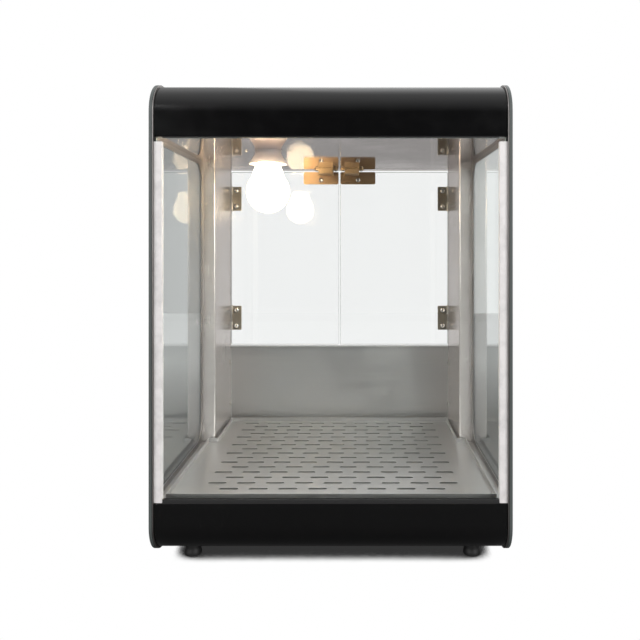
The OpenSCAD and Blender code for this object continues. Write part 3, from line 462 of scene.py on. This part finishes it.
def bentSheet(path, thickness, axis, ends, edge=0.00025):
    mesh = bmesh.new()
    inner = []
    for index, point in enumerate(path):
        before = (point - path[index - 1]).normalized() if index else None
        after = (path[index + 1] - point).normalized() if index < len(path) - 1 else None
        along = ((before or after) + (after or before)).normalized()
        lean = along.dot(after or before)
        inner.append(point + Vector((-along.y, along.x)) * thickness / max(lean, 0.5))
    rings = []
    for t in ends:
        rings.append(([mesh.verts.new(spread(axis, p.x, p.y, t)) for p in path],
                      [mesh.verts.new(spread(axis, p.x, p.y, t)) for p in inner]))
    (outA, inA), (outB, inB) = rings
    for i in range(len(path) - 1):
        mesh.faces.new((outA[i], outA[i + 1], outB[i + 1], outB[i]))
        mesh.faces.new((inA[i], inB[i], inB[i + 1], inA[i + 1]))
        mesh.faces.new((outA[i], inA[i], inA[i + 1], outA[i + 1]))
        mesh.faces.new((outB[i], outB[i + 1], inB[i + 1], inB[i]))
    for i in (0, len(path) - 1):
        mesh.faces.new((outA[i], outB[i], inB[i], inA[i]))
    bmesh.ops.recalc_face_normals(mesh, faces=mesh.faces)
    bevelEdges(mesh, edge, 60)
    return mesh


def slab(path, axis, ends, edge=0.0004, segments=2):
    mesh = bmesh.new()
    base = mesh.faces.new([mesh.verts.new(spread(axis, p.x, p.y, ends[0])) for p in path])
    made = bmesh.ops.extrude_face_region(mesh, geom=[base])
    moved = [g for g in made["geom"] if isinstance(g, bmesh.types.BMVert)]
    bmesh.ops.translate(mesh, verts=moved, vec=spread(axis, 0, 0, ends[1] - ends[0]))
    bmesh.ops.recalc_face_normals(mesh, faces=mesh.faces)
    bevelEdges(mesh, edge, 60, segments)
    return mesh


def roundRect(lowCorner, highCorner, radius):
    (u0, v0), (u1, v1) = lowCorner, highCorner
    return filletPath([(u0, v0), (u1, v0), (u1, v1), (u0, v1)], [radius] * 4, 6, True)


def boxMesh(lowCorner, highCorner, edge=0.0004, segments=2):
    a, b = lowCorner, highCorner
    path = [Vector(p) for p in ((a[0], a[1]), (b[0], a[1]), (b[0], b[1]), (a[0], b[1]))]
    return slab(path, "Z", (a[2], b[2]), edge, segments)


def join(target, *others):
    for other in others:
        data = bpy.data.meshes.new("part")
        other.to_mesh(data)
        other.free()
        target.from_mesh(data)
        bpy.data.meshes.remove(data)
    return target


def turned(profile, centre, direction, segments=48, shape=None):
    mesh = bmesh.new()
    aim = Vector(direction).to_track_quat("Z", "Y").to_matrix()
    rings = []
    for index, (radius, height) in enumerate(profile):
        if radius == 0:
            rings.append([mesh.verts.new(Vector(centre) + aim @ Vector((0, 0, height)))])
            continue
        ring = []
        for step in range(segments):
            angle = 2 * math.pi * step / segments
            reach = shape(index, angle, radius) if shape else radius
            place = Vector((reach * math.cos(angle), reach * math.sin(angle), height))
            ring.append(mesh.verts.new(Vector(centre) + aim @ place))
        rings.append(ring)
    for a, b in zip(rings, rings[1:]):
        for step in range(segments):
            nextStep = (step + 1) % segments
            corners = []
            for ring, at in ((a, step), (a, nextStep), (b, nextStep), (b, step)):
                vert = ring[at] if len(ring) > 1 else ring[0]
                if vert not in corners:
                    corners.append(vert)
            mesh.faces.new(corners)
    for ring in (rings[0], rings[-1]):
        if len(ring) > 1:
            mesh.faces.new(ring)
    return mesh


def openEnds(mesh):
    bmesh.ops.delete(mesh, geom=[f for f in mesh.faces if len(f.verts) > 4], context="FACES_ONLY")


def hexReach(angle, flat):
    return flat / math.cos((angle % math.radians(60)) - math.radians(30))


def smoothProfile(points, steps=4):
    result = []
    count = len(points)
    for i in range(count - 1):
        p0, p1 = points[max(i - 1, 0)], points[i]
        p2, p3 = points[i + 1], points[min(i + 2, count - 1)]
        for step in range(steps):
            t = step / steps
            blend = [0.5 * (2 * b + (c - a) * t + (2 * a - 5 * b + 4 * c - d) * t * t
                            + (3 * b - a - 3 * c + d) * t ** 3) for a, b, c, d in zip(p0, p1, p2, p3)]
            result.append((max(blend[0], 0), blend[1]))
    return result + [points[-1]]


def screwHead(centre, direction, radius, height, shank):
    socket = {"flat": radius * 0.42, "floor": height * 0.38, "rim": radius * 0.56}
    dome = [(radius * math.cos(a), height * 0.22 + height * 0.78 * math.sin(a))
            for a in (math.radians(d) for d in range(0, 60, 8))]
    top = dome[-1][1]
    profile = [(radius * 0.45, -shank), (radius * 0.45, -0.0001), (radius * 0.92, 0), (radius, height * 0.1)]
    profile += dome + [(socket["rim"], top + height * 0.04), (socket["rim"] * 0.92, top),
                       (socket["flat"], socket["floor"]), (0, socket["floor"] - height * 0.1)]
    last = len(profile) - 3

    def shape(index, angle, reach):
        return hexReach(angle, reach) * 0.95 if index > last else reach
    return turned(profile, centre, direction, 24, shape)


def nutMesh(centre, direction, flat, height):
    inner = flat * 0.5
    profile = [(inner, 0), (flat * 0.93, 0), (flat, height * 0.12), (flat, height * 0.88),
               (flat * 0.93, height), (inner, height), (inner * 0.9, height * 0.9), (0, height * 0.9)]

    def shape(index, angle, reach):
        return min(hexReach(angle, flat * 0.9), reach * 1.08) if index in (2, 3) else reach
    return turned(profile, centre, direction, 24, shape)


def nodeBox(name):
    a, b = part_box(name)
    return Vector(a), Vector(b)


record = frame["record"]
case = "case"

# Hood and base skins

skins = {"thick": 1.2 * mm, "front": 37.5 * mm, "bend": 1.8 * mm, "hoodLip": 8 * mm, "baseLip": 12 * mm,
         "hoodFlange": 14 * mm}
a, b = nodeBox("hood_shell")
y0, y1, z0, z1 = a.y, b.y, a.z, b.z
hoodPath = filletPath([(y1, z1 - skins["hoodFlange"]), (y1, z1), (y0, z1), (y0, z0),
                       (y0 + skins["hoodLip"], z0)], [0, skins["bend"], skins["front"], skins["bend"], 0], 14)
makePiece(bentSheet(hoodPath, skins["thick"], "X", (a.x, b.x)), "hoodSkin", "black_enamel", case,
          "hood_shell")
a, b = nodeBox("base_fascia")
y0, y1, z0, z1 = a.y, b.y, a.z, b.z
basePath = filletPath([(y0 + skins["baseLip"], z1), (y0, z1), (y0, z0), (y1, z0)],
                      [0, skins["bend"], skins["front"], 0], 14)
makePiece(bentSheet(basePath, skins["thick"], "X", (a.x, b.x)), "baseSkin", "black_enamel", case,
          "base_fascia")
print("skins bent")

# Glazing

panes = {"frontRadius": 40 * mm, "rearRadius": 12 * mm, "edge": 0.7 * mm, "frontEdge": 0.5 * mm,
         "doorRadius": 2 * mm, "doorEdge": 0.8 * mm}
for side, name in ((-1, "left"), (1, "right")):
    a, b = nodeBox(f"side_glass_{name}")
    outline = filletPath([(a.y, a.z), (b.y, a.z), (b.y, b.z), (a.y, b.z)],
                         [panes[key] for key in ("frontRadius", "rearRadius", "rearRadius", "frontRadius")],
                         16, True)
    makePiece(slab(outline, "X", (a.x, b.x), panes["edge"], 3), f"sidePane_{name}", "clear_glass", case,
              f"side_glass_{name}")
    a, b = nodeBox(f"door_pane_{name}")
    outline = roundRect((a.x, a.z), (b.x, b.z), panes["doorRadius"])
    makePiece(slab(outline, "Y", (a.y, b.y), panes["doorEdge"]), f"doorPane_{name}", "door_acrylic",
              f"door_{name}", f"door_pane_{name}")
a, b = nodeBox("front_glass")
makePiece(boxMesh(a, b, panes["frontEdge"]), "frontPane", "front_glass", case, "front_glass")

strips = {"wall": 2 * mm, "tip": 0.6 * mm, "outside": 0.4 * mm, "inside": 0.3 * mm, "edge": 0.15 * mm}
for side, name in ((-1, "left"), (1, "right")):
    a, b = nodeBox(f"corner_strip_{name}")
    outer = b.x if side > 0 else a.x
    tip = a.x if side > 0 else b.x
    wall = strips["wall"]
    corners = [(tip, a.y), (outer, a.y), (outer, b.y), (tip, b.y), (tip, b.y - wall),
               (outer - side * wall, b.y - wall), (outer - side * wall, a.y + wall), (tip, a.y + wall)]
    radii = [strips[key] for key in ("tip", "outside", "outside", "tip", "tip", "inside", "inside", "tip")]
    path = filletPath(corners, radii, 4, True)
    makePiece(slab(path, "Z", (a.z, b.z), strips["edge"]), f"cornerStrip_{name}", "clear_strip", case,
              f"corner_strip_{name}")
print("panes made")

# Rear posts

posts = {"thick": 1 * mm, "bend": 1.4 * mm, "edge": 0.2 * mm}
for side, name in ((-1, "left"), (1, "right")):
    a, b = nodeBox(f"rear_post_{name}")
    outer, jamb = (b.x, a.x) if side > 0 else (a.x, b.x)
    corners = [(outer, a.y), (jamb, a.y), (jamb, b.y), (outer, b.y)]
    path = filletPath(corners, [0, posts["bend"], posts["bend"], 0], 5)
    sheet = bentSheet(path[::-1], -side * posts["thick"], "Z", (a.z, b.z), posts["edge"])
    makePiece(sheet, f"postSheet_{name}", "post_steel", case, f"rear_post_{name}")

# Lamp

bulb = {"neck": 0.414, "mouth": 0.3, "collar": 2 * mm,
        "shoulder": ((0.72, 0.8), (0.67, 0.95), (0.61, 1.1), (0.53, 1.24), (0.46, 1.36))}
a, b = nodeBox("bulb_glass")
lampX, lampY = (a.x + b.x) / 2, (a.y + b.y) / 2
ball = (b.x - a.x) / 2
ballZ = a.z + ball
outline = [(0, a.z)] + [(ball * math.cos(t), ballZ + ball * math.sin(t))
                        for t in (math.radians(d) for d in range(-80, 41, 8))]
outline += [(ball * width, ballZ + ball * height) for width, height in bulb["shoulder"]]
outline.append((ball * bulb["neck"], b.z - bulb["collar"]))
outline = smoothProfile(outline, 3) + [(ball * bulb["neck"], b.z), (ball * bulb["mouth"], b.z)]
makePiece(turned(outline, (lampX, lampY, 0), (0, 0, 1), 64), "bulb", "bulb_frosted", case, "bulb_glass")
skirts = {"top": 18.3 * mm, "bore": 15.7 * mm, "rim": 0.9 * mm, "foot": 0.9 * mm}
a, b = nodeBox("lamp_skirt")
mouth, top, bore, tall = (b.x - a.x) / 2, skirts["top"], skirts["bore"], b.z - a.z
outer = smoothProfile([(mouth - skirts["foot"], a.z), (mouth, a.z + 0.5 * mm),
                       (mouth - 1.2 * mm, a.z + tall * 0.16), (mouth - 4.2 * mm, a.z + tall * 0.4),
                       (top + 0.6 * mm, a.z + tall * 0.7),
                       (top, b.z - 3.2 * mm), (top + 0.2 * mm, b.z - 1.2 * mm),
                       (top + skirts["rim"], b.z - 0.4 * mm)], 4)
inner = smoothProfile([(bore, b.z - 0.1 * mm), (bore, b.z - 4 * mm), (bore + 0.6 * mm, a.z + tall * 0.6),
                       (mouth - 5.6 * mm, a.z + tall * 0.35), (mouth - 2.6 * mm, a.z + tall * 0.12),
                       (mouth - 1.5 * mm, a.z + 0.1 * mm)], 4)
rim = [(top + skirts["rim"], b.z), (bore + 0.5 * mm, b.z)]
skirt = turned(outer + rim + inner + [(mouth - skirts["foot"], a.z)], (lampX, lampY, 0), (0, 0, 1), 64)
openEnds(skirt)
makePiece(skirt, "skirt", "skirt_plastic", case, "lamp_skirt")
print("lamp made")

# Hinges

hinges = {"height": 43 * mm, "leaf": 1.5 * mm, "lift": 0.2 * mm, "barrel": 3 * mm, "pin": 1.25 * mm,
          "gap": 0.2 * mm, "radius": 1.6 * mm, "square": 0.2 * mm, "edge": 0.25 * mm, "bore": 1.3 * mm,
          "cap": 2.2 * mm, "capTall": 1 * mm, "capEdge": 0.35 * mm}
joints = {j["name"]: j for j in record["behaviour"]["joints"]}


def barrelPiece(x, y, z0, z1):
    radius, bore, chamfer = hinges["barrel"], hinges["bore"], hinges["edge"]
    profile = [(bore, z0), (radius - chamfer, z0), (radius, z0 + chamfer), (radius, z1 - chamfer),
               (radius - chamfer, z1), (bore, z1), (bore, z0)]
    mesh = turned(profile, (x, y, 0), (0, 0, 1), 32)
    openEnds(mesh)
    return mesh


def leafMesh(x, tip, y, z, zones):
    half = hinges["height"] / 2
    back = y - hinges["barrel"] - hinges["lift"]
    way = 1 if tip > x else -1
    root = x + way * (hinges["barrel"] + 0.3 * mm)
    a, b = min(root, tip), max(root, tip)
    radii = [hinges["radius"] if abs(u - tip) < 1e-6 else hinges["square"] for u in (a, b, b, a)]
    path = filletPath([(a, z - half), (b, z - half), (b, z + half), (a, z + half)], radii, 5, True)
    mesh = slab(path, "Y", (back, back + hinges["leaf"]), hinges["edge"])
    for z0, z1 in zones:
        a, b = min(root, x), max(root, x)
        join(mesh, boxMesh((a, back, z0 + 0.01 * mm), (b, back + hinges["leaf"], z1 - 0.01 * mm), 0.1 * mm),
             barrelPiece(x, y, z0, z1))
    return mesh


def pinFor(x, y, z):
    pin, cap, tall, edge = (hinges[key] for key in ("pin", "cap", "capTall", "capEdge"))
    half = hinges["height"] / 2
    low0, high0 = z - half - tall, z + half + tall
    profile = [(0, low0), (cap * 0.7, low0), (cap, low0 + edge), (cap, low0 + tall), (pin, low0 + tall),
               (pin, high0 - tall), (cap, high0 - tall), (cap, high0 - edge), (cap * 0.7, high0), (0, high0)]
    return turned(profile, (x, y, 0), (0, 0, 1), 24)


for side, name in ((-1, "left"), (1, "right")):
    a, b = nodeBox(f"door_leaves_{name}")
    x, y = joints[f"door_{name}_hinge"]["pos_m"][:2]
    tip = b.x if side < 0 else a.x
    half, third = hinges["height"] / 2, hinges["height"] / 6 - hinges["gap"] / 2
    mesh = None
    for z in (a.z + half, b.z - half):
        leaf = leafMesh(x, tip, y, z, [(z - third, z + third)])
        mesh = join(mesh, leaf) if mesh else leaf
    makePiece(mesh, f"doorLeaves_{name}", "hinge_steel", f"door_{name}", f"door_leaves_{name}")
frameMesh, pinMesh = None, None
a, b = nodeBox("hinge_frame_leaves")
for side, name in ((-1, "left"), (1, "right")):
    x, y = joints[f"door_{name}_hinge"]["pos_m"][:2]
    tip = a.x if side < 0 else b.x
    half, third = hinges["height"] / 2, hinges["height"] / 6 + hinges["gap"] / 2
    for z in (a.z + half, b.z - half):
        leaf = leafMesh(x, tip, y, z, [(z - half, z - third), (z + third, z + half)])
        frameMesh = join(frameMesh, leaf) if frameMesh else leaf
        pinMesh = join(pinMesh, pinFor(x, y, z)) if pinMesh else pinFor(x, y, z)
makePiece(frameMesh, "frameLeaves", "hinge_steel", case, "hinge_frame_leaves")
makePiece(pinMesh, "hingePins", "pin_steel", case, "hinge_pins")

# Screws

heads = {"height": 2.3 * mm, "thinHeight": 1.8 * mm, "thinLimit": 3.4 * mm, "nut": 3.9 * mm,
         "nutLimit": 3.5 * mm}


def islands(node):
    mesh = bmesh.new()
    mesh.from_mesh(nodes[node].data)
    bmesh.ops.remove_doubles(mesh, verts=mesh.verts, dist=1e-6)
    left, found = set(mesh.verts), []
    while left:
        stack, group = [left.pop()], []
        while stack:
            vert = stack.pop()
            group.append(vert.co.copy())
            for edge in vert.link_edges:
                other = edge.other_vert(vert)
                if other in left:
                    left.remove(other)
                    stack.append(other)
        a = Vector([min(c[i] for c in group) for i in range(3)])
        b = Vector([max(c[i] for c in group) for i in range(3)])
        found.append((a, b))
    mesh.free()
    return sorted(found, key=lambda pair: tuple(round(c, 5) for c in pair[0]))


def screwsFor(node, axis, sign, pieceName, body):
    mesh = None
    for a, b in islands(node):
        span = b[axis] - a[axis]
        centre = (a + b) / 2
        direction = Vector((0, 0, 0))
        direction[axis] = sign
        if span < heads["nutLimit"]:
            centre[axis] = a[axis]
            fastener = nutMesh(centre, [abs(c) for c in direction], heads["nut"], span)
        else:
            outer = b[axis] if sign > 0 else a[axis]
            radius = max(b[i] - a[i] for i in range(3) if i != axis) / 2
            tall = heads["height"] if radius > heads["thinLimit"] else heads["thinHeight"]
            centre[axis] = outer - sign * tall
            fastener = screwHead(centre, direction, radius, tall, span - tall)
        mesh = join(mesh, fastener) if mesh else fastener
    makePiece(mesh, pieceName, "bright_screws", body, node, crease=28)


for name in ("left", "right"):
    screwsFor(f"door_fasteners_{name}", 1, -1, f"doorScrews_{name}", f"door_{name}")
screwsFor("hinge_frame_screws", 1, 1, "frameScrews", case)
screwsFor("ceiling_screws", 2, -1, "ceilingScrews", case)
print("hinges and screws made")

# Catches

strikes = {"radius": 3 * mm, "edge": 0.25 * mm}
latches = {"half": 12.5 * mm, "edge": 0.5 * mm, "rim": 1.1 * mm, "sink": 1 * mm, "slope": 0.15 * mm,
           "earHalf": 4.5 * mm, "earRound": 4.4 * mm, "earSquare": 0.2 * mm, "earTall": 2.5 * mm,
           "earEdge": 0.3 * mm}
plungers = {"shoulder": 1.4 * mm, "nose": ((0.95, 0.7 * mm), (0.72, 0.1 * mm))}


def latchShell(a, b):
    middle, half = (a.x + b.x) / 2, latches["half"]
    shell = boxMesh((middle - half, a.y, a.z), (middle + half, b.y, b.z), latches["edge"], 3)
    faces = [f for f in shell.faces if f.normal.y < -0.99 and f.calc_area() > 1e-4]
    bmesh.ops.inset_region(shell, faces=faces, thickness=latches["rim"], depth=0)
    bmesh.ops.inset_region(shell, faces=faces, thickness=latches["slope"], depth=-latches["sink"])
    y0, y1 = (a.y + b.y) / 2 - latches["earHalf"], (a.y + b.y) / 2 + latches["earHalf"]
    for near, far in ((middle - half, a.x), (middle + half, b.x)):
        u0, u1 = min(near, far), max(near, far)
        outerEnd, innerEnd = latches["earRound"], latches["earSquare"]
        radii = [outerEnd if abs(u - far) < 1e-6 else innerEnd for u in (u0, u1, u1, u0)]
        path = filletPath([(u0, y0), (u1, y0), (u1, y1), (u0, y1)], radii, 6, True)
        join(shell, slab(path, "Z", (b.z - latches["earTall"], b.z), latches["earEdge"]))
    return shell


for name in ("left", "right"):
    a, b = nodeBox(f"strike_plate_{name}")
    outline = roundRect((a.x, a.z), (b.x, b.z), strikes["radius"])
    makePiece(slab(outline, "Y", (a.y, b.y), strikes["edge"], 3), f"strikePlate_{name}", "strike_steel",
              f"door_{name}", f"strike_plate_{name}")
    makePiece(latchShell(*nodeBox(f"latch_body_{name}")), f"latchBody_{name}", "latch_plastic", case,
              f"latch_body_{name}")
    a, b = nodeBox(f"latch_plunger_{name}")
    radius, x, z = (b.x - a.x) / 2, (a.x + b.x) / 2, (a.z + b.z) / 2
    profile = [(radius, a.y), (radius, b.y - plungers["shoulder"])]
    profile += [(radius * share, b.y - back) for share, back in plungers["nose"]] + [(0, b.y)]
    makePiece(turned(profile, (x, 0, z), (0, 1, 0), 32), f"plunger_{name}", "plunger_steel",
              f"latch_plunger_{name}", f"latch_plunger_{name}")
print("catches made")

# Feet

footShape = {"bore": 5.2 * mm, "boreDeep": 7 * mm, "boreEdge": 0.6 * mm, "neck": 1.5 * mm,
             "side": ((1.2, 0), (0.3, 0.4), (0, 1.3), (0, 4), (0.35, 5), (1.3, 8.2), (1.5, 9.2))}
feet = None
for a, b in islands("rubber_feet"):
    x, y, radius = (a.x + b.x) / 2, (a.y + b.y) / 2, (b.x - a.x) / 2
    bore, edge = footShape["bore"], footShape["boreEdge"]
    profile = [(bore, footShape["boreDeep"]), (bore, edge), (bore + edge, 0)]
    profile += [(radius - inset * mm, height * mm) for inset, height in footShape["side"]]
    profile.append((radius - footShape["neck"], b.z - a.z))
    foot = turned(profile, (x, y, 0), (0, 0, 1), 48)
    feet = join(feet, foot) if feet else foot
makePiece(feet, "feet", "black_rubber", case, "rubber_feet")

# Controls

a, b = nodeBox("thermostat_knob")
knobR, x, z = (b.x - a.x) / 2, (a.x + b.x) / 2, (a.z + b.z) / 2
deep = b.y - a.y
flutes = {"count": 24, "depth": 0.55 * mm, "rings": (2, 3, 4)}


def fluted(index, angle, reach):
    if index not in flutes["rings"]:
        return reach
    return reach - flutes["depth"] * (0.5 - 0.5 * math.cos(angle * flutes["count"])) ** 2


knobBase = ((0, 0), (0, 1.6), (0.7, 2.4))
knobFace = ((1.3, 2), (2.2, 0.5), (3.2, 0), (7, 0.4))
profile = [(0, 0)] + [(knobR - inset * mm, height * mm) for inset, height in knobBase]
profile += [(knobR - inset * mm, deep - drop * mm) for inset, drop in knobFace] + [(0, deep - 0.6 * mm)]
makePiece(turned(profile, (x, a.y, z), (0, 1, 0), 192, fluted), "knob", "black_plastic", "thermostat_knob",
          "thermostat_knob")
print("small parts made")

# Studio

studio = {"leftWall": 0.38, "rightWall": 0.95, "rearWall": 1.05, "rearFloor": 0.93, "lowRear": 0.39,
          "frontWall": 0.035, "overhead": 0.9, "overheadRear": 0.55, "wallTurns": (-0.24, -0.21, 0.14, 0.16),
          "floorSize": 5.4, "floorMiddle": -0.045, "floorSpread": 0.19, "floorHalf": (0.17, 0.21)}
sidePanels = {"size": (1.8, 2.4), "places": ((-2.1, -2.3, 1.25), (2.1, -2.3, 1.25)), "powers": (62.0, 86.0),
              "target": (0, 0, 0.25)}


def makeWorld():
    world = bpy.data.worlds.new("studio")
    bpy.context.scene.world = world
    world.use_nodes = True
    tree = world.node_tree
    tree.nodes.clear()
    out = tree.nodes.new("ShaderNodeOutputWorld")
    seen = addNode(tree, "ShaderNodeBackground")
    seen.inputs["Color"].default_value = (1, 1, 1, 1)
    walls = addNode(tree, "ShaderNodeBackground")
    place = addNode(tree, "ShaderNodeTexCoord")
    split = addNode(tree, "ShaderNodeSeparateXYZ")
    link(tree, place.outputs["Generated"], split.inputs[0])
    turn = mathNode(tree, "DIVIDE", split.outputs["X"], mathNode(tree, "MAXIMUM", split.outputs["Y"], 0.05))
    leftTurn, leftEnd, rightTurn, rightEnd = studio["wallTurns"]
    left = rangeNode(tree, turn, leftTurn, leftEnd, studio["leftWall"], studio["rearWall"])
    right = rangeNode(tree, turn, rightTurn, rightEnd, studio["rearWall"], studio["rightWall"])
    sides = mathNode(tree, "MINIMUM", left, right)
    below = rangeNode(tree, split.outputs["Z"], -0.111, -0.107, studio["lowRear"], 2.0)
    back = rangeNode(tree, split.outputs["Y"], -0.1, 0.4, 0.0, 1.0)
    rear = mathNode(tree, "MULTIPLY", mathNode(tree, "MINIMUM", sides, below), back)
    wall = mathNode(tree, "MAXIMUM", rear, studio["frontWall"])
    up = mathNode(tree, "POWER", rangeNode(tree, split.outputs["Z"], 0.15, 0.95, 0.0, 1.0), 1.5)
    behind = rangeNode(tree, split.outputs["Y"], 0.0, 0.72, studio["overhead"], studio["overheadRear"])
    level = mathNode(tree, "ADD", wall, mathNode(tree, "MULTIPLY", up, behind))
    colour = addNode(tree, "ShaderNodeCombineColor")
    for channel in range(3):
        link(tree, level, colour.inputs[channel])
    link(tree, colour.outputs[0], walls.inputs["Color"])
    mixShaders(tree, "Is Camera Ray", walls, seen, out.inputs["Surface"])


def addPanel(name, size, place, power, target):
    data = bpy.data.lights.new(name, "AREA")
    data.shape = "RECTANGLE"
    data.size, data.size_y = size
    data.energy = power
    panel = bpy.data.objects.new(name, data)
    bpy.context.scene.collection.objects.link(panel)
    panel.location = place
    panel.rotation_euler = (Vector(target) - Vector(place)).to_track_quat("-Z", "Y").to_euler()
    panel.visible_camera = False


def makeFloor():
    mesh = bmesh.new()
    bmesh.ops.create_grid(mesh, x_segments=1, y_segments=1, size=studio["floorSize"] / 2)
    data = bpy.data.meshes.new("floor")
    mesh.to_mesh(data)
    mesh.free()
    floor = bpy.data.objects.new("floor", data)
    bpy.context.scene.collection.objects.link(floor)
    floor.location.z = low.z
    mat, tree, surface, out = newMaterial("pale_floor")
    surface.inputs["Base Color"].default_value = (0.1, 0.1, 0.1, 1)
    surface.inputs["Roughness"].default_value = 0.9
    surface.inputs["Emission Color"].default_value = (1, 1, 1, 1)
    # Painted light: for reflected and refracted rays the floor glows behind the case. It is brighter in a
    # wedge that widens backwards and dimmer to either side.
    split = addNode(tree, "ShaderNodeSeparateXYZ")
    link(tree, objectPlace(tree), split.inputs[0])
    away = distanceFrom(tree, split.outputs["X"], studio["floorMiddle"])
    widening = mathNode(tree, "MULTIPLY", split.outputs["Y"], studio["floorSpread"])
    wedge = mathNode(tree, "SUBTRACT", away, widening)
    between = rangeNode(tree, wedge, *studio["floorHalf"], studio["rearFloor"], studio["lowRear"])
    behind = rangeNode(tree, split.outputs["Y"], 0.4, 1.2, 0.0, 1.0)
    link(tree, mathNode(tree, "MULTIPLY", behind, between), surface.inputs["Emission Strength"])
    surface.inputs["Specular IOR Level"].default_value = 0.1
    # Painted contact shadow: for camera rays the floor is a white glow dimmed by ambient occlusion, so it
    # darkens under and beside the case.
    contactShadowAO = addNode(tree, "ShaderNodeAmbientOcclusion", Distance=0.09)
    contactShadowAO.samples = 48
    shadowedFloorGlow = addNode(tree, "ShaderNodeEmission")
    link(tree, rangeNode(tree, contactShadowAO.outputs["AO"], 0.175, 0.235, 0.035, 1.0), shadowedFloorGlow.inputs["Strength"])
    mixShaders(tree, "Is Camera Ray", surface, shadowedFloorGlow, out.inputs["Surface"])
    floor.data.materials.append(mat)


makeWorld()
makeFloor()
for index, (place, power) in enumerate(zip(sidePanels["places"], sidePanels["powers"])):
    addPanel(f"side_panel_{index}", sidePanels["size"], place, power, sidePanels["target"])
print("studio set")
